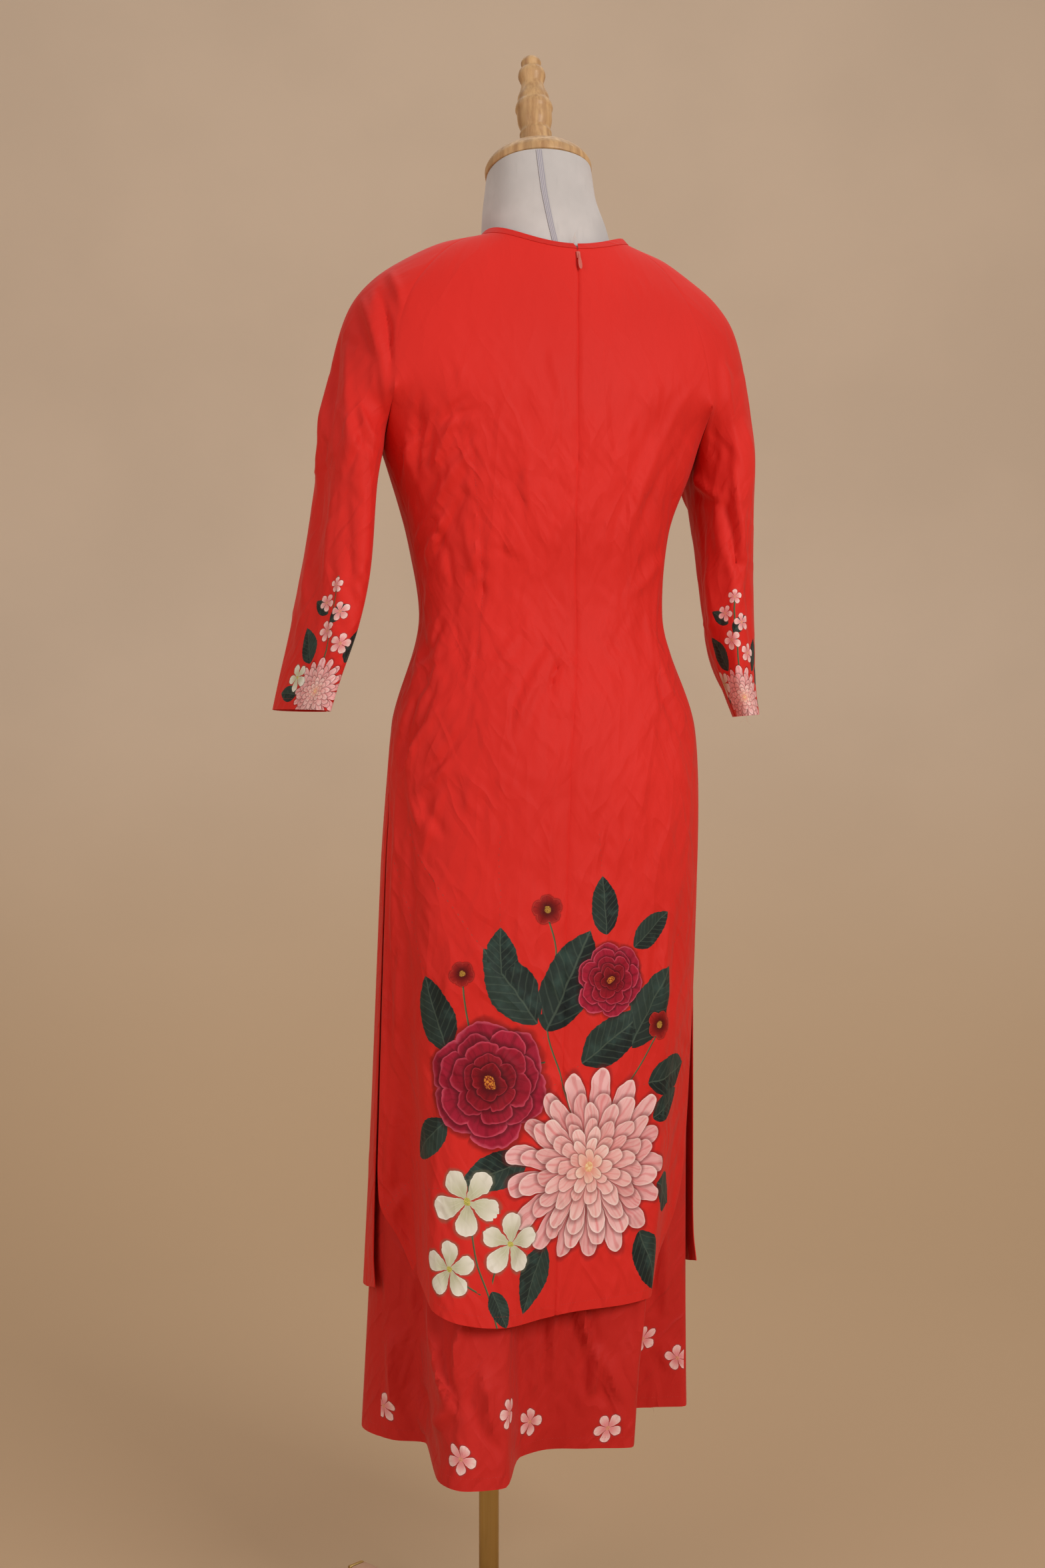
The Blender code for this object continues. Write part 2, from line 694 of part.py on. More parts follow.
def wooden_top(finish):
    """The cap and the finial stand square on the neck's tilted top."""
    top = bpy.data.objects.new("neck_top", None)
    top.location = (0, 0, CAP_HEIGHT)
    top.rotation_euler.x = math.radians(CAP_TILT)
    bpy.context.scene.collection.objects.link(top)
    cap = turned("neck_cap", CAP_PROFILE, finish, sides=32)
    finial = turned("finial", FINIAL_PROFILE, finish)
    finial.location.z = CAP_PROFILE[-1][1] + SEAM_GAP
    cap.parent = finial.parent = top


def stand(brass, wood):
    collar_top = FORM_BOTTOM - SEAM_GAP
    pole_foot = HUB_HEIGHT + SEAM_GAP
    pole = turned(
        "pole",
        [
            (POLE_RADIUS, pole_foot),
            (POLE_RADIUS, collar_top - 0.030),
            (0.0150, collar_top - 0.028),
            (0.0150, collar_top - 0.008),
            (0.0320, collar_top - 0.006),
            (0.0320, collar_top),
        ],
        brass,
    )
    pole.location = (POLE_X, POLE_Y, 0)
    hub = turned(
        "hub",
        [
            (HUB_RADIUS, 0.0),
            (HUB_RADIUS, HUB_HEIGHT - 0.012),
            (HUB_RADIUS - 0.006, HUB_HEIGHT - 0.004),
            (HUB_RADIUS - 0.012, HUB_HEIGHT),
        ],
        brass,
    )
    hub.location = (POLE_X, POLE_Y, 0)
    for number in range(3):
        turn = math.radians(LEG_TURN + 120 * number)
        leg = leg_bar(f"leg_{number + 1}", wood)
        leg.location = (POLE_X, POLE_Y, 0)
        leg.rotation_euler.z = -turn


def leg_bar(name, finish):
    """A flat bar along +Y that tapers to its end, with its top edges eased."""
    ease = 0.003
    rings = []
    for y, half in ((LEG_LENGTH, LEG_WIDTH / 2 - 0.001), (HUB_RADIUS + SEAM_GAP, LEG_WIDTH / 2)):
        rings.append(
            [
                (half, y, 0),
                (half, y, LEG_HEIGHT - ease),
                (half - ease, y, LEG_HEIGHT),
                (-half + ease, y, LEG_HEIGHT),
                (-half, y, LEG_HEIGHT - ease),
                (-half, y, 0),
            ]
        )
    return loft(name, rings, finish, sharp_degrees=20)


def centre_on_base():
    middle = bpy.data.objects.new("base_middle", None)
    middle.location = BASE_MIDDLE
    bpy.context.scene.collection.objects.link(middle)
    for obj in bpy.context.scene.objects:
        if obj is not middle and obj.parent is None:
            obj.parent = middle


def build():
    clear_scene()
    red = material("tunic_cloth", CLOTH_RED, 0.55)
    deep_red = material("skirt_cloth", SKIRT_RED, 0.58)
    linen = material("form_cover", FORM_LINEN, 0.85)
    honey = material("honey_wood", HONEY_WOOD, 0.35)
    tan = material("leg_wood", LEG_WOOD, 0.5)
    brass = material("brass", BRASS, 0.3, metallic=1.0)
    pink = material("zip_metal", ZIP_PINK, 0.35, metallic=0.6)
    back_panels(red)
    front_panel(red)
    sleeve("sleeve_left", 1, LEFT_SLEEVE, red)
    sleeve("sleeve_right", -1, RIGHT_SLEEVE, red)
    neck_band(red)
    zip_slider(pink)
    zip_pull(pink)
    skirt(deep_red)
    waistband(deep_red)
    form_torso(linen)
    wooden_top(honey)
    stand(brass, tan)
    centre_on_base()


build()
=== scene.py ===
# %% [markdown]
# # A red ao dai on a dress form
# The outfit is a long tunic with raglan sleeves, a zip down the back and slit sides, over a long skirt.
# A limbless form on a brass pole wears it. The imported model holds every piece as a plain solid, so
# the first cell loads it. All that follows is modelled around those solids, in the same frame.

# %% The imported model
import math
from types import SimpleNamespace

import bpy
import numpy as np
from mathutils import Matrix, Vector


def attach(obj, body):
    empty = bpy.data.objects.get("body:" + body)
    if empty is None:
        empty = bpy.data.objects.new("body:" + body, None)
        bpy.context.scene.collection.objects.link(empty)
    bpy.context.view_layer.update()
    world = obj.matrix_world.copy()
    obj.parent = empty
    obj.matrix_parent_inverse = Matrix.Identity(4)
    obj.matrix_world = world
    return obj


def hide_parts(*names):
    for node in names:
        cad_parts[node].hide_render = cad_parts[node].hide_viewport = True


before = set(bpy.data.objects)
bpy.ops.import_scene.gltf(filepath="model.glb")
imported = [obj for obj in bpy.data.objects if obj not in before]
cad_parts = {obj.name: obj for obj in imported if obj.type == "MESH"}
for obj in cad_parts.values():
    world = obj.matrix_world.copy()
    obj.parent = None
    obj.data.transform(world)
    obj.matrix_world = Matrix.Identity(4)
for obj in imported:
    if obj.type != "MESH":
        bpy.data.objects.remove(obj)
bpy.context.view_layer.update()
BODY = "garment_and_stand"
PULL_BODY = "zip_pull_tab"

# %% [markdown]
# ## Camera
# The picture was taken from behind, a little to the wearer's left, from waist height and level.
# A level camera keeps upright lines upright. The form's axis lies slightly right of the middle,
# which a small lens shift gives without turning the camera.

# %% Camera
PICTURE_WIDTH, PICTURE_HEIGHT = 1568, 2352
FOCAL_PIXELS = 2750  # the picture's own focal length in its pixels
AXIS_PIXEL = 808  # where the form's axis falls across the picture
SENSOR = 36.0
CAMERA_DISTANCE = 2.05
CAMERA_HEIGHT = 0.95
TOWARDS_CAMERA = np.array([0.292, 0.956, 0.0])
PICTURE_RIGHT = np.array([-0.956, 0.292, 0.0])
BASE_MIDDLE = np.array([-0.012, 0.0, 0.0])  # the form's axis stands here

camera_data = bpy.data.cameras.new("camera")
camera_data.sensor_width = SENSOR
camera_data.lens = SENSOR * FOCAL_PIXELS / PICTURE_HEIGHT
camera_data.shift_x = -(AXIS_PIXEL - PICTURE_WIDTH / 2) / PICTURE_HEIGHT
camera_data.clip_end = 50
camera = bpy.data.objects.new("camera", camera_data)
camera.location = BASE_MIDDLE + CAMERA_DISTANCE * TOWARDS_CAMERA + [0, 0, CAMERA_HEIGHT]
camera.rotation_euler = (math.radians(90), 0, math.atan2(-TOWARDS_CAMERA[0], TOWARDS_CAMERA[1]) + math.pi)
bpy.context.scene.collection.objects.link(camera)
bpy.context.scene.camera = camera
print("lens in mm:", round(camera_data.lens, 2))

# %% [markdown]
# ## Helpers for materials
# A finish on real cloth, wood or metal is never one flat colour. Each material here is worked out by
# nodes, and a node tree is easier to read as sums. So one small class wraps a socket and turns
# Python's own signs into Math nodes, and one method adds any other node.

# %% Sums on sockets
class Signal:
    """A number or colour inside a material, usable in Python sums."""

    def __init__(self, finish, socket):
        self.finish, self.socket = finish, socket

    def maths(self, operation, *others):
        made = self.finish.tree.nodes.new("ShaderNodeMath")
        made.operation = operation
        for slot, item in zip(made.inputs, others):
            self.finish.feed(slot, item)
        return Signal(self.finish, made.outputs[0])

    def __add__(self, other):
        return self.maths("ADD", self, other)

    def __sub__(self, other):
        return self.maths("SUBTRACT", self, other)

    def __rsub__(self, other):
        return self.maths("SUBTRACT", other, self)

    def __mul__(self, other):
        return self.maths("MULTIPLY", self, other)

    def __truediv__(self, other):
        return self.maths("DIVIDE", self, other)

    def __pow__(self, other):
        return self.maths("POWER", self, other)

    def __abs__(self):
        return self.maths("ABSOLUTE", self)

    def floor(self):
        return self.maths("FLOOR", self)

    def least(self, other):
        return self.maths("MINIMUM", self, other)

    def most(self, other):
        return self.maths("MAXIMUM", self, other)

    def sine(self):
        return self.maths("SINE", self)

    def step(self, low, high):
        """0 below low, 1 above high and a soft change between."""
        settings = {"interpolation_type": "SMOOTHSTEP"}
        return self.finish.node("MapRange", settings, {"Value": self, "From Min": low, "From Max": high})

    __radd__ = __add__
    __rmul__ = __mul__


class Finish:
    """A material under construction."""

    def __init__(self, name, roughness=0.5, **constants):
        self.material = bpy.data.materials.new(name)
        self.material.use_nodes = True
        self.tree = self.material.node_tree
        self.shader = self.tree.nodes["Principled BSDF"]
        self.shader.inputs["Roughness"].default_value = roughness
        for key, value in constants.items():
            self.shader.inputs[key.replace("_", " ").title().replace("Ior", "IOR")].default_value = value

    def feed(self, slot, value):
        if isinstance(value, Signal):
            self.tree.links.new(value.socket, slot)
        elif hasattr(value, "__len__") and len(value) == 3 and slot.type == "RGBA":
            slot.default_value = (*value, 1)
        else:
            slot.default_value = value

    def node(self, kind, settings=None, inputs=None, output=0):
        made = self.tree.nodes.new("ShaderNode" + kind)
        for key, value in (settings or {}).items():
            setattr(made, key, value)
        for key, value in (inputs or {}).items():
            self.feed(made.inputs[key], value)
        return Signal(self, made.outputs[output])

    def mix(self, share, first, second):
        """A colour between two colours."""
        return self.node("Mix", {"data_type": "RGBA"}, {0: share, 6: first, 7: second}, output=2)

    def split(self, vector):
        parts = self.node("SeparateXYZ", inputs={0: vector})
        outputs = parts.socket.node.outputs
        return [Signal(self, outputs[i]) for i in range(3)]

    def join(self, x, y, z=0.0):
        return self.node("CombineXYZ", inputs={0: x, 1: y, 2: z})

    def noise(self, place, scale, detail=2.0, roughness=0.5):
        settings = {"noise_dimensions": "3D"}
        inputs = {"Vector": place, "Scale": scale, "Detail": detail, "Roughness": roughness}
        return self.node("TexNoise", settings, inputs)

    def bump(self, height, distance, strength=1.0, before=None):
        inputs = {"Height": height, "Distance": distance, "Strength": strength}
        if before is not None:
            inputs["Normal"] = before
        return self.node("Bump", inputs=inputs)

    def done(self, colour=None, roughness=None, normal=None, metallic=None, coat=None):
        pairs = {"Base Color": colour, "Roughness": roughness, "Normal": normal}
        pairs.update({"Metallic": metallic, "Coat Weight": coat})
        for key, value in pairs.items():
            if value is not None:
                self.feed(self.shader.inputs[key], value)
        return self.material


# %% [markdown]
# ## Short tables read along smooth curves
# A pattern cutter knows a garment by a few measured rings: neckline, shoulder, bust, waist, hip, hem.
# Each table below has one row for a ring, and a smooth curve gives every ring between. The same
# sizes made the solids, so the finished cloth lies on them.

# %% Tables
class Rows:
    """A short table with named columns, read at any value of its first column along a smooth curve."""

    def __init__(self, names, rows):
        self.names = names.split()
        rows = sorted(rows)
        self.keys = np.array([row[0] for row in rows], float)
        self.values = np.array([row[1:] for row in rows], float)
        rises = np.diff(self.values, axis=0) / np.diff(self.keys)[:, None]
        self.slopes = np.zeros_like(self.values)
        self.slopes[0], self.slopes[-1] = rises[0], rises[-1]
        before, after = rises[:-1], rises[1:]
        same_way = before * after > 0
        total = np.where(same_way, before + after, 1.0)
        self.slopes[1:-1] = np.where(same_way, 2 * before * after / total, 0.0)

    def at(self, key):
        key = np.clip(key, self.keys[0], self.keys[-1])
        i = np.clip(np.searchsorted(self.keys, key, side="right") - 1, 0, len(self.keys) - 2)
        step = (self.keys[i + 1] - self.keys[i])[..., None]
        s = (key - self.keys[i])[..., None] / step
        found = (
            (1 + 2 * s) * (1 - s) ** 2 * self.values[i]
            + s * (1 - s) ** 2 * step * self.slopes[i]
            + s * s * (3 - 2 * s) * self.values[i + 1]
            + s * s * (s - 1) * step * self.slopes[i + 1]
        )
        return SimpleNamespace(**{name: found[..., n] for n, name in enumerate(self.names[1:])})


SIDE_SEAM = 88.0
UNDERARM = 1.315
SLIT_TOP = 0.958
TUNIC_HEM = 0.393
SKIRT_TOP = 1.092
SKIRT_HEM = 0.235
WAISTBAND = 0.028
SKIRT_INSET = 0.0065
DRAPE_POWER = 1.8
SOLID_WALL = 0.0012
SEAM_GAP = 0.0003
FULLNESS = 0.07

YOKE = Rows(
    "place half_width side back back_height front front_height centre "
    "raglan_left raglan_right raglan_front cb",
    [
        (0.00, 0.088, 1.545, 0.068, 1.531, 0.078, 1.462, -0.0146, 72, -62, 62, -5.5),
        (0.17, 0.125, 1.538, 0.083, 1.490, 0.095, 1.428, -0.0120, 65, -57, 58, -3.5),
        (0.33, 0.165, 1.518, 0.097, 1.455, 0.108, 1.400, -0.0090, 59, -51, 54, -2.0),
        (0.50, 0.199, 1.494, 0.106, 1.425, 0.116, 1.380, -0.0080, 55, -46, 51, -1.3),
        (0.67, 0.222, 1.464, 0.111, 1.400, 0.121, 1.365, -0.0070, 52, -43, 49, -1.0),
        (0.83, 0.236, 1.418, 0.114, 1.378, 0.124, 1.352, -0.0060, 50, -42, 47, -0.8),
        (1.00, 0.245, 1.366, 0.115, 1.358, 0.125, 1.342, -0.0060, 48, -41, 46, -0.7),
    ],
)
TORSO = Rows(
    "height half_width back front centre cb",
    [
        (1.315, 0.180, 0.113, 0.124, -0.002, -2.6),
        (1.230, 0.148, 0.103, 0.120, 0.000, -4.0),
        (1.140, 0.138, 0.089, 0.100, -0.004, -4.6),
        (1.010, 0.173, 0.113, 0.110, -0.007, 0.7),
        (0.950, 0.177, 0.120, 0.112, -0.006, 2.0),
        (0.860, 0.180, 0.121, 0.112, -0.003, 2.0),
        (0.500, 0.183, 0.124, 0.118, 0.005, 2.0),
        (0.235, 0.184, 0.126, 0.122, 0.012, 2.0),
    ],
)
EDGES = Rows(
    "height back_left back_right front_left front_right",
    [
        (1.315, SIDE_SEAM, -SIDE_SEAM, SIDE_SEAM, -SIDE_SEAM),
        (0.958, SIDE_SEAM, -SIDE_SEAM, SIDE_SEAM, -SIDE_SEAM),
        (0.900, 85, -82, 86.5, -87),
        (0.800, 84.5, -78, 86.5, -86.5),
        (0.520, 84.5, -76, 86.5, -86),
        (0.470, 83, -72, 86, -86),
        (0.430, 75, -63, 85, -85),
        (0.393, 70, -50, 80, -80),
    ],
)


# %% [markdown]
# ## The hems, seen from above
# Below the hips the cloth leaves the body and opens into a few large folds. A fold is easiest to draw
# as a plan of the hem, as a dressmaker would see it from above; between hip and hem the cloth runs
# from one plan to the other, late, because its weight pulls it straight.

# %% Hem plans
def hem_plan(rows):
    """A plan's rows as a smooth curve; a plan that goes all round is joined up at its back."""
    rows = sorted(rows)
    if rows[-1][0] - rows[0][0] > 300:
        wrapped = [(row[0] - 360, *row[1:]) for row in rows[-2:]]
        wrapped += [(row[0] + 360, *row[1:]) for row in rows[:3]]
        rows = sorted(rows + wrapped)
    return Rows("angle x y lift", rows)


SKIRT_PLAN = hem_plan(
    [
        (-180, 0.012, -0.152, 0.0),
        (-155, -0.052, -0.150, 0.0),
        (-130, -0.122, -0.106, 0.0),
        (-108, -0.178, -0.052, 0.0),
        (-98, -0.184, -0.022, 0.0),
        (-88, -0.176, -0.006, 0.0),
        (-75, -0.154, -0.011, 0.0),
        (-55, -0.112, -0.018, 0.0),
        (-45, -0.096, 0.030, 0.0),
        (-33, -0.076, 0.094, -0.002),
        (-15, -0.030, 0.089, 0.0),
        (3, 0.014, 0.078, 0.0),
        (12, 0.047, 0.090, 0.0),
        (23, 0.086, 0.158, -0.005),
        (38, 0.126, 0.151, -0.006),
        (52, 0.145, 0.117, -0.004),
        (66, 0.134, 0.024, 0.0),
        (82, 0.167, 0.001, 0.0),
        (100, 0.190, -0.047, 0.0),
        (122, 0.160, -0.112, 0.0),
        (150, 0.096, -0.132, 0.0),
    ]
)
TUNIC_BACK_PLAN = hem_plan(
    [
        (-90, -0.186, 0.012, 0.008),
        (-78, -0.162, 0.016, 0.006),
        (-62, -0.127, 0.036, 0.004),
        (-50, -0.109, 0.070, 0.003),
        (-40, -0.093, 0.101, 0.002),
        (-25, -0.055, 0.112, 0.0),
        (-8, -0.005, 0.119, 0.0),
        (8, 0.036, 0.134, 0.0),
        (22, 0.084, 0.155, 0.0),
        (38, 0.130, 0.149, 0.006),
        (52, 0.155, 0.116, 0.019),
        (60, 0.152, 0.072, 0.027),
        (67, 0.149, 0.038, 0.032),
        (80, 0.180, 0.012, 0.040),
        (90, 0.196, 0.000, 0.040),
    ]
)
TUNIC_FRONT_PLAN = hem_plan(
    [
        (80, 0.187, 0.002, 0.010),
        (100, 0.189, -0.043, 0.002),
        (125, 0.160, -0.112, 0.0),
        (150, 0.100, -0.140, 0.0),
        (180, 0.010, -0.152, 0.0),
        (208, -0.065, -0.147, 0.0),
        (232, -0.132, -0.106, 0.0),
        (258, -0.190, -0.043, 0.002),
        (280, -0.190, 0.000, 0.010),
    ]
)


# %% [markdown]
# ## Points on the garment's rings
# A sheet of cloth is made as a grid: rows run down it and columns run round the body. An operator
# can't draw such a form from measured rings, so the points are worked out here, row by row.

# %% Rings
def unit(vectors):
    return vectors / np.maximum(np.linalg.norm(vectors, axis=-1, keepdims=True), 1e-9)


def ring_point(row, degrees):
    """Points of a ring whose back, front and sides may lie at different heights."""
    s, c = np.sin(np.radians(degrees)), np.cos(np.radians(degrees))
    depth = np.where(c > 0, row.back, row.front)
    tilt = (row.back_height - row.front_height) / 2
    dip = (row.back_height + row.front_height) / 2 - row.side
    x = row.centre + row.half_width * s * (1 + FULLNESS * c * c)
    y = depth * c * (1 + FULLNESS * s * s)
    return np.stack([x, y, row.side + tilt * c + dip * c * c], axis=-1)


def torso_point(height, degrees, inset=0.0):
    row = TORSO.at(height)
    level = SimpleNamespace(
        half_width=row.half_width - inset,
        back=row.back - inset,
        front=row.front - inset,
        centre=row.centre,
        side=height,
        back_height=height,
        front_height=height,
    )
    return ring_point(level, degrees)


def hanging_point(height, degrees, plan, hem, inset=0.0):
    """Below the hips the cloth runs from the body's ring to the hem's plan, opening late."""
    height = np.broadcast_to(height, np.shape(degrees))
    point = torso_point(height, degrees, inset)
    fall = np.clip((SLIT_TOP - height) / (SLIT_TOP - hem), 0, 1)
    opening = (fall**DRAPE_POWER)[..., None]
    wrapped = (degrees + 180) % 360 - 180 if plan is SKIRT_PLAN else degrees
    end = plan.at(wrapped)
    foot = torso_point(np.full(np.shape(degrees), hem), degrees, inset)
    end = np.stack([end.x - foot[..., 0], end.y - foot[..., 1], end.lift], axis=-1)
    return point + opening * end


def between(first, last, columns):
    """Angles across a panel, a row of them for each height."""
    share = np.linspace(0, 1, columns + 1)
    return first + (last - first) * share


def soften(grid, row, reach, passes):
    """Evens a grid down its columns near one row, but leaves its two side edges, which are seams."""
    rows = np.arange(len(grid))
    columns = np.linspace(0, 1, grid.shape[1])
    inside = np.clip(8 * np.minimum(columns, 1 - columns), 0, 1)
    weight = (np.exp(-(((rows - row) / reach) ** 2))[:, None] * inside)[..., None]
    for _ in range(passes):
        mean = grid.copy()
        mean[1:-1] = (grid[:-2] + 2 * grid[1:-1] + grid[2:]) / 4
        grid = grid + weight * (mean - grid)
    return grid


YOKE_ROWS, UNDERARM_ROWS, BODY_ROWS = 52, 13, 220


def body_grid(columns, yoke_ends, torso_ends, plan):
    """A body panel from the neckline over the shoulder blades and down to the hem."""
    places = np.linspace(0, 1, YOKE_ROWS)[:, None]
    row = YOKE.at(places)
    yoke = ring_point(row, between(*yoke_ends(row), columns))
    heights = np.linspace(UNDERARM, TUNIC_HEM, BODY_ROWS)[:, None]
    lower = hanging_point(heights, between(*torso_ends(heights), columns), plan, TUNIC_HEM)
    share = np.linspace(0, 1, UNDERARM_ROWS + 2)[1:-1, None, None]
    middle = yoke[-1] + share * (lower[0] - yoke[-1])
    grid = np.concatenate([yoke, middle, lower])
    return soften(grid, YOKE_ROWS + UNDERARM_ROWS / 2, 16, 60)


grids = {
    "back_left": body_grid(
        62,
        lambda row: (row.cb, row.raglan_left),
        lambda height: (TORSO.at(height).cb, EDGES.at(height).back_left),
        TUNIC_BACK_PLAN,
    ),
    "back_right": body_grid(
        62,
        lambda row: (row.raglan_right, row.cb),
        lambda height: (EDGES.at(height).back_right, TORSO.at(height).cb),
        TUNIC_BACK_PLAN,
    ),
    "front": body_grid(
        112,
        lambda row: (180 - row.raglan_front, 180 + row.raglan_front),
        lambda height: (EDGES.at(height).front_left, 360 + EDGES.at(height).front_right),
        TUNIC_FRONT_PLAN,
    ),
}
CHEST_ROW, CHEST_REACH, CHEST_PASSES = 50, 24, 400  # the front's rows lie close here, so it takes more
grids["front"] = soften(grids["front"], CHEST_ROW, CHEST_REACH, CHEST_PASSES)
print({name: grid.shape[:2] for name, grid in grids.items()})

# %% [markdown]
# ## Sleeves
# A raglan sleeve runs from the neckline over the shoulder and down the arm as one piece. Empty, it
# hangs as a flattened tube. Its grid starts on the yoke's rings between the two raglan seams, closes
# under the arm and then follows level rings to the cuff.

# %% Sleeve grids
SLEEVE_NAMES = "height centre thin wide turn seam"
LEFT_SLEEVE = Rows(
    SLEEVE_NAMES,
    [
        (1.318, 0.2130, 0.0350, 0.072, 0, -90),
        (1.280, 0.2180, 0.0280, 0.068, -6, -88),
        (1.230, 0.2230, 0.0260, 0.064, -12, -82),
        (1.180, 0.2300, 0.0260, 0.061, -18, -74),
        (1.120, 0.2420, 0.0220, 0.058, -22, -64),
        (1.060, 0.2590, 0.0150, 0.055, -23, -52),
        (1.029, 0.2670, 0.0120, 0.054, -23, -46),
    ],
)
RIGHT_SLEEVE = Rows(
    SLEEVE_NAMES,
    [
        (1.318, 0.2170, 0.0350, 0.072, 0, -90),
        (1.280, 0.2190, 0.0330, 0.068, -4, -88),
        (1.230, 0.2230, 0.0310, 0.064, -9, -84),
        (1.180, 0.2260, 0.0300, 0.060, -14, -80),
        (1.120, 0.2310, 0.0275, 0.057, -18, -76),
        (1.060, 0.2425, 0.0185, 0.054, -19, -70),
        (1.029, 0.2510, 0.0145, 0.053, -19, -66),
    ],
)
CUFF_HEIGHT = 1.029
CUFF_SLOPE = 0.09
VENT_HEIGHT = 0.038
VENT_OPENING = 0.0028
SLEEVE_COLUMNS = 84
SLEEVE_ROWS = 70


def sleeve_ring(table, heights, side):
    """Closed rings of a flattened sleeve, from the seam round the back, the outside and the front."""
    row = table.at(heights)
    turn = np.radians(row.turn)
    angle = np.radians(between(row.seam, row.seam + 360, SLEEVE_COLUMNS))
    wide, thin = row.wide * np.cos(angle), row.thin * np.sin(angle)
    x = wide * np.sin(turn) + thin * np.cos(turn)
    y = wide * np.cos(turn) - thin * np.sin(turn)
    return np.stack([side * (row.centre + x), y, heights + CUFF_SLOPE * x], axis=-1)


def sleeve_grid(table, side):
    places = np.linspace(0, 1, YOKE_ROWS)[:, None]
    row = YOKE.at(places)
    first = row.raglan_left if side > 0 else row.raglan_right
    cap = ring_point(row, between(first, side * (180 - row.raglan_front), SLEEVE_COLUMNS))
    top = table.keys[-1]
    underarm = sleeve_ring(table, np.array([[top]]), side)[0]
    seam = torso_point(np.array(UNDERARM), np.array(side * SIDE_SEAM))
    seam = seam + [side * (SOLID_WALL + 2 * SEAM_GAP), 0, 0]
    share = np.linspace(0, 1, SLEEVE_COLUMNS + 1)[:, None]
    near_start = np.clip(1 - 4 * share, 0, 1) ** 2
    near_end = near_start[::-1]
    underarm = underarm + (seam - underarm[0]) * near_start + (seam - underarm[-1]) * near_end
    step = np.linspace(0, 1, UNDERARM_ROWS + 1)[1:, None, None]
    middle = cap[-1] + step * (underarm - cap[-1])
    heights = np.linspace(top, CUFF_HEIGHT, SLEEVE_ROWS + 1)[1:, None]
    arm = sleeve_ring(table, heights, side)
    release = np.clip((heights - (top - 0.030)) / 0.030, 0, 1)[..., None] ** 2
    to_start = (seam - arm[:, :1]) * [1, 1, 0] * near_start
    to_end = (seam - arm[:, -1:]) * [1, 1, 0] * near_end
    arm = arm + release * (to_start + to_end)
    above_cuff = CUFF_HEIGHT + VENT_HEIGHT - heights[:, 0]
    vent = np.clip(above_cuff / VENT_HEIGHT, 0, 1)[:, None] * VENT_OPENING / 2
    arm[:, 0] += unit(arm[:, 1] - arm[:, 0]) * vent
    arm[:, -1] += unit(arm[:, -2] - arm[:, -1]) * vent
    grid = soften(np.concatenate([cap, middle, arm]), YOKE_ROWS + UNDERARM_ROWS / 2, 16, 60)
    return grid if side > 0 else grid[:, ::-1]


grids["sleeve_left"] = sleeve_grid(LEFT_SLEEVE, 1)
grids["sleeve_right"] = sleeve_grid(RIGHT_SLEEVE, -1)

SKIRT_ROWS, SKIRT_COLUMNS = 196, 112
skirt_heights = np.linspace(SKIRT_TOP, SKIRT_HEM, SKIRT_ROWS)[:, None]
for name, first, last in (("skirt_back", -SIDE_SEAM, SIDE_SEAM), ("skirt_front", SIDE_SEAM, 360 - SIDE_SEAM)):
    angles = np.broadcast_to(between(first, last, SKIRT_COLUMNS), (SKIRT_ROWS, SKIRT_COLUMNS + 1))
    grids[name] = hanging_point(skirt_heights, angles, SKIRT_PLAN, SKIRT_HEM, SKIRT_INSET)
print({name: grid.shape[:2] for name, grid in grids.items()})

# %% [markdown]
# ## Creases
# Worn cloth pulls into soft ridges and troughs: diagonal ones where the waist is drawn in, long ones
# down a sleeve, a sharp pinch above a slit. A simulation would place them by chance, so the main ones
# are listed one by one. Each row gives a crease's two ends as seen from its own side, how far it
# stands out (or in, below zero) and how wide it is in millimetres, and how much it bows.

# %% Listed creases
SIDE_AND_WAIST = [
    # across, height, to across, to height, out, width, bow
    (-0.123, 1.364, -0.128, 1.231, -2.2, 7, 0.03),
    (-0.077, 1.350, -0.112, 1.280, 2.0, 6, 0.05),
    (-0.063, 1.315, -0.123, 1.210, 2.6, 7, 0.06),
    (-0.070, 1.266, -0.119, 1.168, -2.0, 6, 0.05),
    (-0.091, 1.245, -0.123, 1.192, 2.2, 6, 0.0),
    (-0.098, 1.210, -0.091, 1.150, -1.6, 6, 0.0),
    (-0.077, 1.231, -0.060, 1.161, 1.4, 7, 0.05),
    (-0.112, 1.336, -0.119, 1.280, -1.5, 6, 0.0),
    (-0.140, 1.322, -0.119, 1.245, 1.8, 7, 0.04),
    (-0.105, 1.117, -0.112, 1.043, 1.6, 7, 0.0),
    (-0.091, 1.138, -0.081, 1.068, -1.4, 7, 0.0),
    (0.168, 1.385, 0.084, 1.175, 1.7, 8, 0.05),
    (0.154, 1.322, 0.102, 1.203, -1.4, 8, 0.04),
    (0.177, 1.350, 0.151, 1.245, 1.5, 7, 0.03),
    (0.144, 1.210, 0.102, 1.154, 1.4, 8, 0.0),
    (0.126, 1.392, 0.109, 1.329, 0.9, 8, 0.0),
    (0.130, 1.106, 0.165, 1.018, 1.9, 6, 0.08),
    (0.128, 1.089, 0.168, 0.990, -1.6, 7, 0.08),
    (0.119, 1.138, 0.126, 1.054, 1.2, 7, 0.0),
]
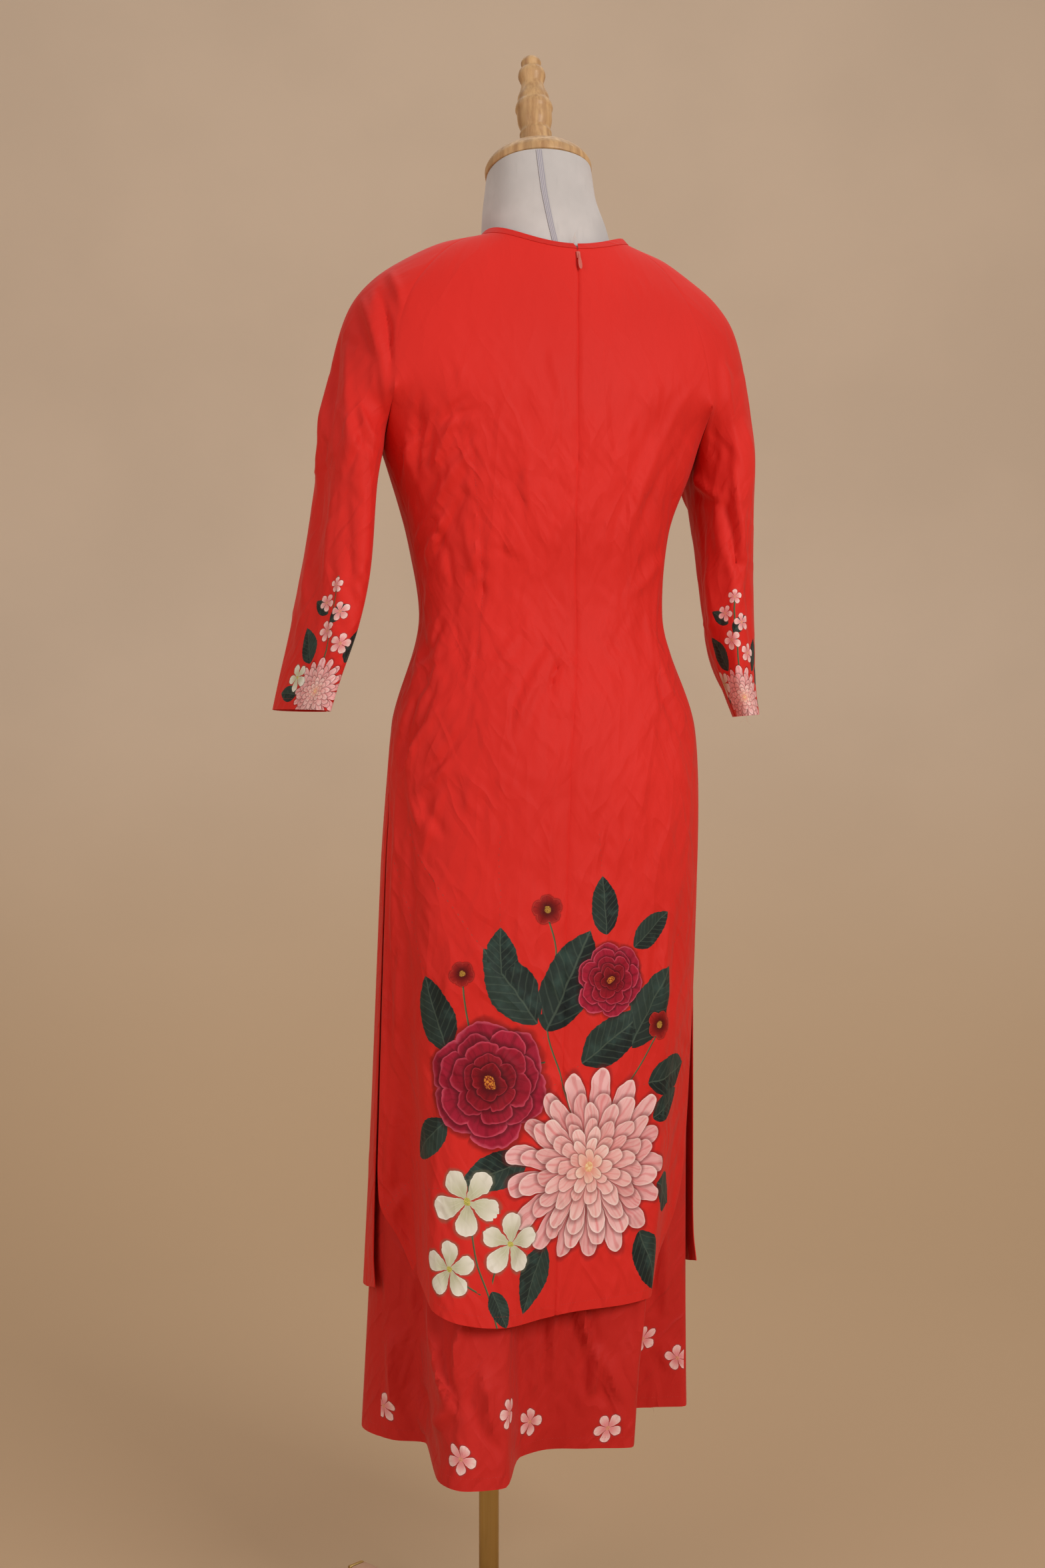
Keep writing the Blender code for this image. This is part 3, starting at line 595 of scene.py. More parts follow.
MIDDLE_BACK = [
    (-0.014, 1.336, -0.009, 1.231, 1.2, 9, 0.0),
    (0.012, 1.413, 0.021, 1.364, 0.8, 6, 0.0),
    (0.042, 1.259, 0.014, 1.196, 1.3, 8, 0.03),
    (0.063, 1.350, 0.049, 1.280, 0.9, 8, 0.0),
    (-0.035, 1.245, -0.042, 1.150, -0.9, 9, 0.0),
    (0.018, 1.103, -0.028, 0.990, 1.8, 6, 0.04),
    (0.028, 1.092, 0.011, 1.043, -1.6, 6, 0.03),
    (-0.007, 1.127, -0.046, 1.075, 1.3, 8, 0.0),
    (-0.035, 1.082, -0.021, 1.068, 1.2, 6, 0.0),
    (0.021, 0.934, 0.011, 0.864, 1.0, 9, 0.0),
    (-0.046, 0.941, -0.053, 0.885, 0.8, 8, 0.0),
]
HIP_AND_SLIT = [
    (-0.116, 1.018, -0.142, 0.959, 3.4, 5, 0.05),
    (-0.130, 1.043, -0.147, 0.962, -2.4, 5, 0.05),
    (-0.091, 1.054, -0.123, 0.994, 1.8, 7, 0.04),
    (-0.077, 1.011, -0.112, 0.962, -1.5, 7, 0.0),
    (-0.091, 0.976, -0.133, 0.941, 1.6, 7, -0.04),
    (-0.140, 0.948, -0.123, 0.892, 1.6, 6, 0.0),
    (-0.123, 0.934, -0.098, 0.892, -1.4, 7, 0.0),
    (-0.098, 0.948, -0.123, 0.871, 1.5, 7, 0.04),
    (-0.070, 0.962, -0.077, 0.913, 1.0, 8, 0.0),
    (-0.137, 0.906, -0.133, 0.773, -1.6, 6, 0.0),
    (-0.153, 0.948, -0.160, 0.720, 1.6, 5, 0.0),
    (-0.160, 0.800, -0.166, 0.600, -1.6, 5, 0.0),
    (-0.148, 0.780, -0.152, 0.640, 1.4, 6, 0.02),
    (-0.152, 0.620, -0.160, 0.500, 1.6, 6, 0.04),
    (0.147, 1.011, 0.167, 0.934, 1.2, 8, 0.05),
    (0.133, 0.962, 0.144, 0.878, 1.0, 9, 0.0),
    (0.084, 0.934, 0.081, 0.843, 1.0, 9, 0.0),
    (0.109, 0.983, 0.112, 0.892, 0.8, 10, 0.0),
]
HANGING_BACK = [
    (-0.041, 0.662, -0.047, 0.518, 1.2, 12, 0.0),
    (0.140, 0.820, 0.129, 0.694, 1.8, 6, 0.0),
    (0.152, 0.809, 0.143, 0.665, -1.5, 7, 0.0),
    (0.117, 0.772, 0.111, 0.685, 1.2, 8, 0.0),
    (0.126, 0.605, 0.129, 0.461, 1.2, 9, 0.0),
    (0.028, 0.720, 0.036, 0.636, 0.9, 10, 0.0),
    (-0.133, 0.518, -0.157, 0.481, 2.0, 9, 0.1),
    (-0.110, 0.685, -0.116, 0.587, -1.2, 9, 0.0),
    (-0.093, 0.789, -0.096, 0.700, 1.1, 10, 0.0),
    (0.005, 0.518, -0.004, 0.430, 1.0, 10, 0.0),
    (0.071, 0.495, 0.057, 0.430, 1.2, 9, 0.0),
    (-0.070, 0.484, -0.087, 0.430, 1.3, 9, 0.0),
]
DARTS = {
    "back_left": [(-0.072, 1.315), (-0.063, 1.230), (-0.060, 1.157), (-0.074, 1.016)],
    "back_right": [(0.152, 1.290), (0.140, 1.200), (0.133, 1.130), (0.132, 1.008)],
}
DART_DEPTH, DART_WIDTH = -0.8, 3.0
SKIRT_BACK_CREASES = [
    (-0.116, 0.445, -0.122, 0.354, -2.5, 7, 0.05),
    (-0.096, 0.443, -0.082, 0.302, -3.5, 8, 0.08),
    (-0.105, 0.438, -0.093, 0.313, 2.5, 7, 0.05),
    (-0.070, 0.420, -0.087, 0.325, 2.2, 8, 0.05),
    (-0.087, 0.302, -0.108, 0.240, -3.0, 8, 0.05),
    (-0.059, 0.354, -0.044, 0.273, 1.8, 9, 0.0),
    (-0.162, 0.358, -0.159, 0.270, 1.6, 9, 0.0),
    (-0.122, 0.302, -0.110, 0.246, -2.6, 8, 0.0),
    (0.016, 0.420, 0.013, 0.303, 1.6, 9, 0.0),
    (0.057, 0.438, 0.065, 0.336, -3.0, 7, 0.06),
    (0.065, 0.352, 0.057, 0.292, 2.0, 8, 0.0),
    (0.045, 0.433, 0.054, 0.344, 1.8, 7, 0.0),
    (-0.007, 0.407, -0.001, 0.286, 1.2, 9, 0.0),
    (0.071, 0.335, 0.088, 0.280, 1.6, 8, 0.0),
    (0.114, 0.427, 0.111, 0.332, 1.0, 8, 0.0),
    (0.140, 0.467, 0.143, 0.342, 1.2, 9, 0.0),
    (-0.177, 0.470, -0.165, 0.380, 1.8, 8, 0.0),
]
FRONT_CREASES = [
    (-0.120, 1.330, -0.060, 1.250, 1.8, 8, 0.04),
    (-0.140, 1.290, -0.085, 1.190, -1.6, 8, 0.05),
    (0.125, 1.325, 0.070, 1.240, 1.9, 8, 0.05),
    (0.140, 1.270, 0.080, 1.180, 1.6, 8, 0.04),
    (0.110, 1.205, 0.050, 1.150, -1.5, 7, 0.0),
    (-0.100, 1.180, -0.040, 1.120, 1.5, 8, 0.03),
    (-0.020, 1.290, 0.005, 1.170, 1.0, 10, 0.02),
    (-0.115, 1.110, -0.150, 1.020, 1.9, 7, 0.07),
    (0.115, 1.110, 0.150, 1.010, 1.8, 7, 0.07),
    (0.100, 1.085, 0.125, 0.990, -1.4, 8, 0.05),
    (0.030, 1.120, -0.020, 1.010, 1.3, 8, 0.03),
    (-0.060, 0.960, -0.070, 0.780, 1.2, 11, 0.0),
    (0.055, 0.900, 0.045, 0.680, -1.2, 11, 0.0),
    (0.120, 0.820, 0.130, 0.560, 1.4, 10, 0.0),
    (-0.125, 0.700, -0.130, 0.480, 1.5, 10, 0.0),
    (0.000, 0.650, -0.010, 0.430, 1.3, 12, 0.0),
    (-0.075, 1.420, -0.110, 1.350, 1.0, 8, 0.0),
    (0.075, 1.420, 0.115, 1.345, 1.1, 8, 0.0),
]
SKIRT_FRONT_CREASES = [
    (-0.140, 0.480, -0.150, 0.260, 2.2, 10, 0.02),
    (-0.095, 0.420, -0.090, 0.250, -2.4, 10, 0.03),
    (-0.040, 0.440, -0.055, 0.260, 2.0, 11, 0.0),
    (0.020, 0.420, 0.030, 0.250, -2.0, 11, 0.02),
    (0.080, 0.460, 0.085, 0.255, 2.3, 10, 0.0),
    (0.135, 0.430, 0.150, 0.260, -2.0, 9, 0.0),
]
SLEEVE_CREASES = {
    "sleeve_left": [
        (-0.172, 1.480, -0.152, 1.330, -4.0, 7, -0.05),
        (-0.190, 1.470, -0.168, 1.400, 2.6, 7, -0.03),
        (-0.160, 1.500, -0.135, 1.440, 2.2, 7, 0.0),
        (-0.213, 1.440, -0.222, 1.310, -3.0, 6, 0.03),
        (-0.225, 1.400, -0.238, 1.250, 2.4, 6, 0.0),
        (-0.205, 1.420, -0.198, 1.300, 2.0, 8, 0.0),
        (-0.224, 1.320, -0.248, 1.150, -2.6, 6, 0.02),
        (-0.215, 1.290, -0.228, 1.130, 2.2, 7, 0.0),
        (-0.200, 1.260, -0.190, 1.120, -1.8, 8, 0.03),
        (-0.240, 1.230, -0.262, 1.090, 1.8, 7, 0.0),
        (-0.188, 1.350, -0.165, 1.300, 2.4, 6, 0.06),
        (-0.175, 1.330, -0.205, 1.270, -1.8, 7, 0.0),
        (-0.205, 1.180, -0.222, 1.070, 1.4, 8, 0.0),
    ],
    "sleeve_right": [
        (0.205, 1.430, 0.232, 1.290, 1.8, 7, 0.03),
        (0.190, 1.400, 0.200, 1.300, -1.8, 8, 0.0),
        (0.217, 1.330, 0.243, 1.150, 2.4, 7, 0.02),
        (0.175, 1.318, 0.205, 1.268, 3.6, 6, 0.1),
        (0.205, 1.268, 0.228, 1.180, -3.0, 7, 0.0),
        (0.178, 1.280, 0.190, 1.180, -2.6, 7, 0.0),
        (0.190, 1.240, 0.198, 1.110, 2.2, 7, 0.0),
        (0.215, 1.210, 0.225, 1.060, 1.8, 7, 0.0),
        (0.232, 1.250, 0.240, 1.100, -1.8, 6, 0.0),
        (0.200, 1.130, 0.215, 1.050, -1.4, 8, 0.0),
    ],
}


# %% [markdown]
# ## From a crease's two ends to a shape
# A crease is sharp along its crest and soft at its foot, fades at both ends, and has a shallow
# trough on one side where the cloth was taken from. Smaller ones between them follow a seeded draw,
# so that each run gives the same cloth.

# %% Crease shapes
CREASE_GROWTH = 2.2


def crease_heights(across, height, rows):
    """How far the cloth stands out at each point, from creases given by their ends."""
    total = np.zeros_like(across)
    for x0, z0, x1, z1, out, width, bow in rows:
        length = math.hypot(x1 - x0, z1 - z0)
        along = ((across - x0) * (x1 - x0) + (height - z0) * (z1 - z0)) / length**2
        aside = ((across - x0) * (z1 - z0) - (height - z0) * (x1 - x0)) / length
        aside = aside - bow * length * 4 * along * (1 - along)
        fade = np.sin(math.pi * np.clip(along, 0, 1)) ** 0.7
        reach = width / 1000 * (0.4 + 0.4 * fade)
        crest = (1 + (aside / reach) ** 2) ** -1.5
        flank = np.exp(-(((aside - 1.9 * reach) / (1.3 * reach)) ** 2))
        total += CREASE_GROWTH * out / 1000 * fade * (crest - 0.5 * flank)
    return total


def small_creases(seed, count, across, height, lean, length, out, width):
    """Seeded small creases inside a patch, leaning by some degrees from upright."""
    draw = np.random.default_rng(seed)
    rows = []
    for _ in range(count):
        x, z = draw.uniform(*across), draw.uniform(*height)
        turn = math.radians(draw.normal(lean, 26))
        reach = draw.uniform(0.5, 1.0) * length
        sign = draw.choice([-1, 1])
        rows.append(
            (
                x - reach / 2 * math.sin(turn),
                z - reach / 2 * math.cos(turn),
                x + reach / 2 * math.sin(turn),
                z + reach / 2 * math.cos(turn),
                sign * out * draw.uniform(0.5, 1.2),
                width * draw.uniform(0.7, 1.3),
                draw.uniform(-0.08, 0.08),
            )
        )
    return rows


def outward_normals(grid):
    return unit(np.cross(np.gradient(grid, axis=1), np.gradient(grid, axis=0)))


def seen_from(grid, facing, right):
    """Each point's place across and up as seen from a side, and how far it faces that side."""
    toward = outward_normals(grid) @ facing
    return grid @ right, grid[..., 2], np.clip((toward - 0.05) / 0.3, 0, 1)


BACK_VIEW = (TOWARDS_CAMERA, PICTURE_RIGHT)
FRONT_VIEW = (np.array([0.0, -1.0, 0.0]), np.array([1.0, 0.0, 0.0]))


def fold_line(points, out, width):
    """One crease for each stretch of a line, lengthened so that they run into each other."""
    rows = []
    for (x0, z0), (x1, z1) in zip(points, points[1:]):
        grow = 0.25
        start = (x0 - grow * (x1 - x0), z0 - grow * (z1 - z0))
        end = (x1 + grow * (x1 - x0), z1 + grow * (z1 - z0))
        rows.append((*start, *end, out, width, 0.0))
    return rows


back_rows = SIDE_AND_WAIST + MIDDLE_BACK + HIP_AND_SLIT + HANGING_BACK
back_rows += fold_line(DARTS["back_left"], DART_DEPTH, DART_WIDTH)
back_rows += fold_line(DARTS["back_right"], DART_DEPTH, DART_WIDTH)
back_rows += small_creases(3, 60, (-0.15, 0.18), (1.02, 1.38), -12, 0.055, 0.7, 5)
back_rows += small_creases(4, 34, (-0.16, -0.06), (1.00, 1.34), 18, 0.06, 1.0, 5)
back_rows += small_creases(5, 46, (-0.15, 0.18), (0.45, 1.00), 4, 0.07, 0.6, 6)
front_rows = FRONT_CREASES + small_creases(6, 70, (-0.18, 0.18), (0.42, 1.36), 0, 0.065, 0.8, 6)
SKIRT_GROWTH = 2.2
skirt_back_rows = [(*row[:4], SKIRT_GROWTH * row[4], *row[5:]) for row in SKIRT_BACK_CREASES]
skirt_back_rows += small_creases(7, 26, (-0.18, 0.15), (0.25, 0.44), 6, 0.055, 0.8, 5)
skirt_front_rows = SKIRT_FRONT_CREASES + small_creases(8, 30, (-0.18, 0.18), (0.25, 0.48), 0, 0.06, 0.8, 6)
sleeve_rows = {
    "sleeve_left": SLEEVE_CREASES["sleeve_left"]
    + small_creases(9, 26, (-0.27, -0.17), (1.06, 1.42), 8, 0.05, 0.8, 5),
    "sleeve_right": SLEEVE_CREASES["sleeve_right"]
    + small_creases(10, 24, (0.17, 0.26), (1.06, 1.42), -8, 0.05, 0.8, 5),
}
print("creases on the back:", len(back_rows), "on the front:", len(front_rows))


# %% [markdown]
# ## Laying the creases into the grids
# Each point moves along the cloth's own outward direction. Two panels have to stay together at their
# seam, so the creases fade out at the side and raglan seams. A seam itself is drawn in a little, as
# stitched cloth is, and the layer beneath sets how far a trough may go.

# %% Creased grids
SEAM_DRAW = 0.0005
CENTRE_DRAW = 0.0020  # the centre back seam shows as a fine line
DEEPEST_ON_FORM = 0.0008
DEEPEST = 0.0035
# A fold from the slit to the hem
LEFT_STEP = [(-0.140, 0.950), (-0.138, 0.800), (-0.128, 0.600), (-0.114, 0.400)]
STEP_DEPTH = 0.0045
STEP_REACH = 0.016


def step_fold(across, height):
    """The left edge lies behind a long fold: it drops sharply there and comes back slowly."""
    line = Rows("height across", [(z, x) for x, z in LEFT_STEP])
    beyond = line.at(height).across - across
    fade = np.clip((0.955 - height) / 0.06, 0, 1)
    drop = 1 / (1 + np.exp(-np.clip(beyond / 0.0030, -30, 30)))
    return -STEP_DEPTH * fade * drop * np.exp(-np.maximum(beyond, 0) / STEP_REACH)


def edge_share(grid, first, last, reach=4):
    """1 inside a panel and 0 at those of its side edges that are seams."""
    count = np.arange(grid.shape[1], dtype=float)
    share = np.ones(grid.shape[1])
    if first:
        share = share * np.clip(count / reach, 0, 1)
    if last:
        share = share * np.clip(count[::-1] / reach, 0, 1)
    return share * share * (3 - 2 * share)


def press(name, passes, seams, deepest=DEEPEST):
    """Moves a grid's points outwards by its creases, seen from one or two sides."""
    grid = grids[name]
    normals = outward_normals(grid)
    total = np.zeros(grid.shape[:2])
    for (facing, right), rows, *more in passes:
        across, height, share = seen_from(grid, facing, right)
        found = crease_heights(across, height, rows)
        for extra in more:
            found = found + extra(across, height)
        total += share * found
    total = total * edge_share(grid, *seams)
    limit = np.full(len(grid), deepest)
    if "skirt" not in name:
        ramp = (0.2, 0.5) if "sleeve" in name else (0.4, 0.7)
        limit = np.interp(np.arange(len(grid)) / YOKE_ROWS, ramp, [DEEPEST_ON_FORM, deepest])
    total = np.maximum(total, -limit[:, None])
    total[:, 0] -= CENTRE_DRAW if name == "back_left" else SEAM_DRAW
    total[:, -1] -= CENTRE_DRAW if name == "back_right" else SEAM_DRAW
    grids[name] = grid + normals * total[..., None]


press("back_left", [(BACK_VIEW, back_rows, step_fold)], (False, True), deepest=0.006)
press("back_right", [(BACK_VIEW, back_rows)], (True, False))
press("front", [(FRONT_VIEW, front_rows)], (True, True))
press("skirt_back", [(BACK_VIEW, skirt_back_rows)], (True, True))
press("skirt_front", [(FRONT_VIEW, skirt_front_rows)], (True, True))
for name, mirrored in (("sleeve_left", -1), ("sleeve_right", -1)):
    front_of_sleeve = [
        (mirrored * x0, z0, mirrored * x1, z1, 0.8 * out, width, bow)
        for x0, z0, x1, z1, out, width, bow in sleeve_rows[name]
    ]
    press(name, [(BACK_VIEW, sleeve_rows[name]), (FRONT_VIEW, front_of_sleeve)], (True, True), deepest=0.006)
print("tunic hem at", round(float(grids["back_left"][-1, :, 2].mean()), 3))

# %% [markdown]
# ## Where the print lies
# The back panel and the cuffs carry a printed bouquet. A print belongs to the flat cloth, so each
# sheet gets flat measures: how far a point lies from the centre seam along the cloth, and its height.
# The motifs are placed on those measures. For every point the nearest motif of each kind is found,
# and the point's place in that motif's own frame is kept as an attribute, which a material can read.
# So one drawing of a leaf serves every leaf.

# %% Flat measures and motifs
FAR = (9.0, 9.0, 1.0)


def run_along(grid):
    """How far each point lies from its row's first point, along the cloth."""
    steps = np.linalg.norm(np.diff(grid, axis=1), axis=2)
    return np.concatenate([np.zeros((len(grid), 1)), np.cumsum(steps, axis=1)], axis=1)


def flat_measures(name):
    grid = grids[name]
    run = run_along(grid)
    if name == "back_left":
        across = -run
    elif name == "back_right":
        across = run[:, -1:] - run
    else:
        across = run - run[:, -1:] / 2
    return np.stack([across, grid[..., 2]], axis=-1)


flat = {name: flat_measures(name) for name in grids}


def in_motifs(corners, motifs, middle=0.0, slim=1.0):
    """Each face's corners in the frame of the motif nearest to that face, with the motif's tone."""
    found = np.broadcast_to(FAR, (*corners.shape[:2], 3)).copy()
    nearest = np.full(len(corners), 3.0)
    for x, z, size, degrees, tone in motifs:
        turn = math.radians(degrees)
        dx, dz = (corners[..., 0] - x) / size, (corners[..., 1] - z) / size
        along = dx * math.cos(turn) + dz * math.sin(turn)
        aside = -dx * math.sin(turn) + dz * math.cos(turn)
        distance = np.hypot(along - middle, aside / slim).mean(axis=1)
        closer = distance < nearest
        nearest[closer] = distance[closer]
        found[closer] = np.stack([along, aside, np.full_like(along, tone)], axis=-1)[closer]
    return found


def stem_motifs(stems):
    """A stem's smooth curve as short straight motifs; the tone keeps each one's length."""
    rows = []
    for points in stems:
        curve = Rows("t x z", [(t, *point) for t, point in enumerate(points)])
        fine = curve.at(np.linspace(0, len(points) - 1, 24))
        for x0, z0, x1, z1 in zip(fine.x, fine.z, fine.x[1:], fine.z[1:]):
            length = math.hypot(x1 - x0, z1 - z0)
            rows.append((x0, z0, length, math.degrees(math.atan2(z1 - z0, x1 - x0)), length))
    return rows


BACK_PRINT = {
    # across, height, size, turn in degrees, tone
    "star_bloom": [(0.034, 0.545, 0.106, 8, 0.0)],
    "cup_bloom": [(-0.082, 0.640, 0.070, 20, 0.0), (0.052, 0.742, 0.043, -35, 1.0)],
    "white_bloom": [
        (-0.106, 0.520, 0.038, 15, 0.0),
        (-0.062, 0.476, 0.034, 48, 0.3),
        (-0.128, 0.452, 0.031, -20, 0.6),
    ],
    "small_bloom": [
        (-0.022, 0.818, 0.017, 10, 0.0),
        (-0.112, 0.752, 0.014, 40, 0.4),
        (0.118, 0.690, 0.017, -20, 0.2),
    ],
    "leaf": [
        (-0.020, 0.690, 0.115, 66, 0.1),
        (-0.030, 0.700, 0.098, 128, 0.6),
        (0.022, 0.655, 0.090, 34, 0.3),
        (0.078, 0.668, 0.100, 58, 0.8),
        (0.104, 0.628, 0.085, 8, 0.2),
        (-0.126, 0.672, 0.082, 112, 0.5),
        (-0.128, 0.600, 0.070, 218, 0.9),
        (-0.040, 0.560, 0.075, 196, 0.4),
        (0.120, 0.520, 0.080, -28, 0.7),
        (0.112, 0.590, 0.060, 24, 0.0),
        (0.100, 0.470, 0.078, -64, 0.3),
        (-0.020, 0.470, 0.072, -112, 0.6),
        (-0.082, 0.430, 0.040, -70, 0.9),
        (0.046, 0.790, 0.062, 96, 0.2),
        (0.080, 0.775, 0.058, 40, 0.5),
        (-0.070, 0.730, 0.070, 92, 0.4),
    ],
}
BACK_STEMS = [
    [(0.034, 0.540), (-0.002, 0.640), (-0.020, 0.700), (-0.012, 0.770), (-0.022, 0.812)],
    [(-0.012, 0.690), (0.020, 0.715), (0.050, 0.738)],
    [(-0.010, 0.660), (-0.045, 0.655), (-0.080, 0.640)],
    [(-0.080, 0.640), (-0.104, 0.700), (-0.112, 0.748)],
    [(0.060, 0.610), (0.094, 0.650), (0.118, 0.686)],
    [(-0.104, 0.522), (-0.100, 0.470), (-0.086, 0.425), (-0.080, 0.400)],
    [(-0.064, 0.478), (-0.080, 0.445), (-0.086, 0.420)],
    [(-0.128, 0.454), (-0.108, 0.436), (-0.088, 0.424)],
]
CUFF_PRINT = {
    "star_bloom": [(0.004, 1.048, 0.036, 12, 0.0)],
    "cup_bloom": [],
    "white_bloom": [(0.040, 1.064, 0.016, 25, 0.2)],
    "small_bloom": [
        (-0.010, 1.098, 0.012, 15, 1.0),
        (0.012, 1.112, 0.012, 50, 1.0),
        (-0.002, 1.132, 0.011, -10, 1.0),
        (0.020, 1.142, 0.010, 30, 1.0),
        (0.008, 1.160, 0.009, 5, 1.0),
    ],
    "leaf": [
        (-0.020, 1.078, 0.040, 110, 0.2),
        (0.024, 1.078, 0.044, 62, 0.6),
        (-0.026, 1.066, 0.036, 150, 0.8),
        (0.010, 1.120, 0.026, 130, 0.3),
        (0.016, 1.130, 0.026, 35, 0.5),
        (0.034, 1.046, 0.034, 4, 0.4),
        (-0.030, 1.044, 0.032, 182, 0.1),
    ],
}
CUFF_STEMS = [[(0.004, 1.060), (0.006, 1.100), (0.008, 1.150), (0.008, 1.165)]]
CUFF_MIDDLE = {"sleeve_left": -0.075, "sleeve_right": 0.075}  # where the cuff's spray lies across the sleeve
PRINT_TOP = {"back_left": 0.90, "back_right": 0.90, "sleeve_left": 1.19, "sleeve_right": 1.19}


SHAPE = {"leaf": (0.5, 0.5), "stem": (0.5, 1.0)}  # where a motif's middle lies, and how slim it is


def printed(name):
    """The motifs of one printed sheet, at its own measures."""
    motifs, stems, shift = BACK_PRINT, BACK_STEMS, 0.0
    if name.startswith("sleeve"):
        motifs, stems, shift = CUFF_PRINT, CUFF_STEMS, CUFF_MIDDLE[name]
    placed = {kind: [(x + shift, *rest) for x, *rest in rows] for kind, rows in motifs.items()}
    placed["stem"] = stem_motifs([[(x + shift, z) for x, z in points] for points in stems])
    return placed


# %% [markdown]
# ## Blossoms on the skirt
# The skirt is plain but for small five-petalled blossoms near its hem. They are placed where they
# show from behind, and at the same spacing round the front.

# %% Skirt blossoms
BLOSSOM_SIZE = 0.0165
BLOSSOMS_SEEN = [
    # across, height as seen from behind, turn
    (-0.168, 0.268, 10),
    (-0.080, 0.2585, 40),
    (-0.030, 0.300, -12),
    (-0.009, 0.2700, 25),
    (0.076, 0.2555, -30),
    (0.119, 0.320, 55),
    (0.160, 0.290, 5),
]
BLOSSOMS_FRONT = [
    (-0.150, 0.272, 20),
    (-0.098, 0.305, -15),
    (-0.055, 0.262, 45),
    (0.004, 0.292, 0),
    (0.058, 0.258, 70),
    (0.104, 0.300, -30),
    (0.152, 0.266, 10),
]


def blossom_places(name, view, seen):
    """Finds each blossom's flat measures from its place as seen from one side."""
    facing, right = view
    grid, rows = grids[name], []
    across, height, share = seen_from(grid, facing, right)
    for x, z, turn in seen:
        miss = np.hypot(across - x, height - z) + 0.05 * (share < 0.3)
        row, column = np.unravel_index(np.argmin(miss), miss.shape)
        rows.append((*flat[name][row, column], BLOSSOM_SIZE, turn, (turn % 7) / 7))
    return rows


skirt_motifs = {
    "skirt_back": {"blossom": blossom_places("skirt_back", BACK_VIEW, BLOSSOMS_SEEN)},
    "skirt_front": {"blossom": blossom_places("skirt_front", FRONT_VIEW, BLOSSOMS_FRONT)},
}
print("blossoms:", len(BLOSSOMS_SEEN) + len(BLOSSOMS_FRONT))


# %% [markdown]
# ## From a grid to a sheet of cloth
# The grid becomes a mesh of four-sided faces, the Solidify modifier gives it the thickness of the
# cloth, and its flat measures go into a UV map. Only the faces below the top of the print take the
# printed material, and the inside of the cloth stays plain.

# %% Sheets
CLOTH_THICKNESS = 0.0009
SHEET_ANGLE = 55


def deselect():
    bpy.ops.object.select_all(action="DESELECT")


def make_active(obj):
    deselect()
    obj.select_set(True)
    bpy.context.view_layer.objects.active = obj


def sheet_mesh(name, grid, measures, motifs=None, print_top=None, thickness=CLOTH_THICKNESS):
    rows, columns = grid.shape[:2]
    index = np.arange(rows * columns).reshape(rows, columns)
    corners = (index[:-1, :-1], index[:-1, 1:], index[1:, 1:], index[1:, :-1])
    faces = np.stack([corner.ravel() for corner in corners], axis=1)
    mesh = bpy.data.meshes.new(name)
    mesh.from_pydata((grid + BASE_MIDDLE).reshape(-1, 3).tolist(), [], faces.tolist())
    uv = mesh.uv_layers.new(name="cloth")
    uv.data.foreach_set("uv", measures.reshape(-1, 2)[faces.ravel()].astype(np.float32).ravel())
    corners = measures.reshape(-1, 2)[faces]
    for kind, rows_of_kind in (motifs or {}).items():
        attribute = mesh.attributes.new(kind, "FLOAT_VECTOR", "CORNER")
        found = in_motifs(corners, rows_of_kind, *SHAPE.get(kind, (0.0, 1.0)))
        attribute.data.foreach_set("vector", found.astype(np.float32).ravel())
    if print_top is not None:
        low = measures[..., 1].reshape(-1)[faces[:, 0]] < print_top
        mesh.polygons.foreach_set("material_index", low.astype(np.int32))
    obj = bpy.data.objects.new(name, mesh)
    bpy.context.scene.collection.objects.link(obj)
    make_active(obj)
    wall = obj.modifiers.new("wall", "SOLIDIFY")
    wall.thickness = thickness
    wall.offset = 0
    wall.use_even_offset = True
    wall.material_offset = -1
    for _ in range(2):
        mesh.materials.append(None)
    bpy.ops.object.modifier_apply(modifier="wall")
    bpy.ops.object.shade_smooth_by_angle(angle=math.radians(SHEET_ANGLE))
    return obj


sheets = {}
for name in ("back_left", "back_right", "sleeve_left", "sleeve_right"):
    sheets[name] = sheet_mesh(f"{name}_cloth", grids[name], flat[name], printed(name), PRINT_TOP[name])
sheets["front"] = sheet_mesh("front_cloth", grids["front"], flat["front"])
for name in ("skirt_back", "skirt_front"):
    sheets[name] = sheet_mesh(f"{name}_cloth", grids[name], flat[name], skirt_motifs[name], 0.36)
print({name: len(obj.data.polygons) for name, obj in sheets.items()})

# %% [markdown]
# ## The cloth's finish
# It is a smooth, fine plain weave in a warm coral red with a low, soft sheen. Threads are too fine to
# draw one by one, so a stretched noise gives slubs along both directions. Cloth that was packed
# away keeps a net of sharp little creases: a noise is stretched along one lean and folded at its
# middle value, which leaves a thin line there. Two leans cross, and a slow noise makes them uneven.

# %% Red cloth
TUNIC_RED = (0.700, 0.0215, 0.0150)
SKIRT_RED = (0.590, 0.0200, 0.0150)


def packed_creases(cloth, across, height, lean, scale, sharpness=9.0):
    """Thin ridges that lean by some degrees from upright."""
    c, s = math.cos(math.radians(lean)), math.sin(math.radians(lean))
    place = cloth.join((across * c - height * s) * scale, (across * s + height * c) * scale * 0.30, lean / 9)
    field = cloth.noise(place, 1.0, 2.0, 0.45)
    return 1.0 - (abs(field - 0.5) * sharpness).least(1.0)


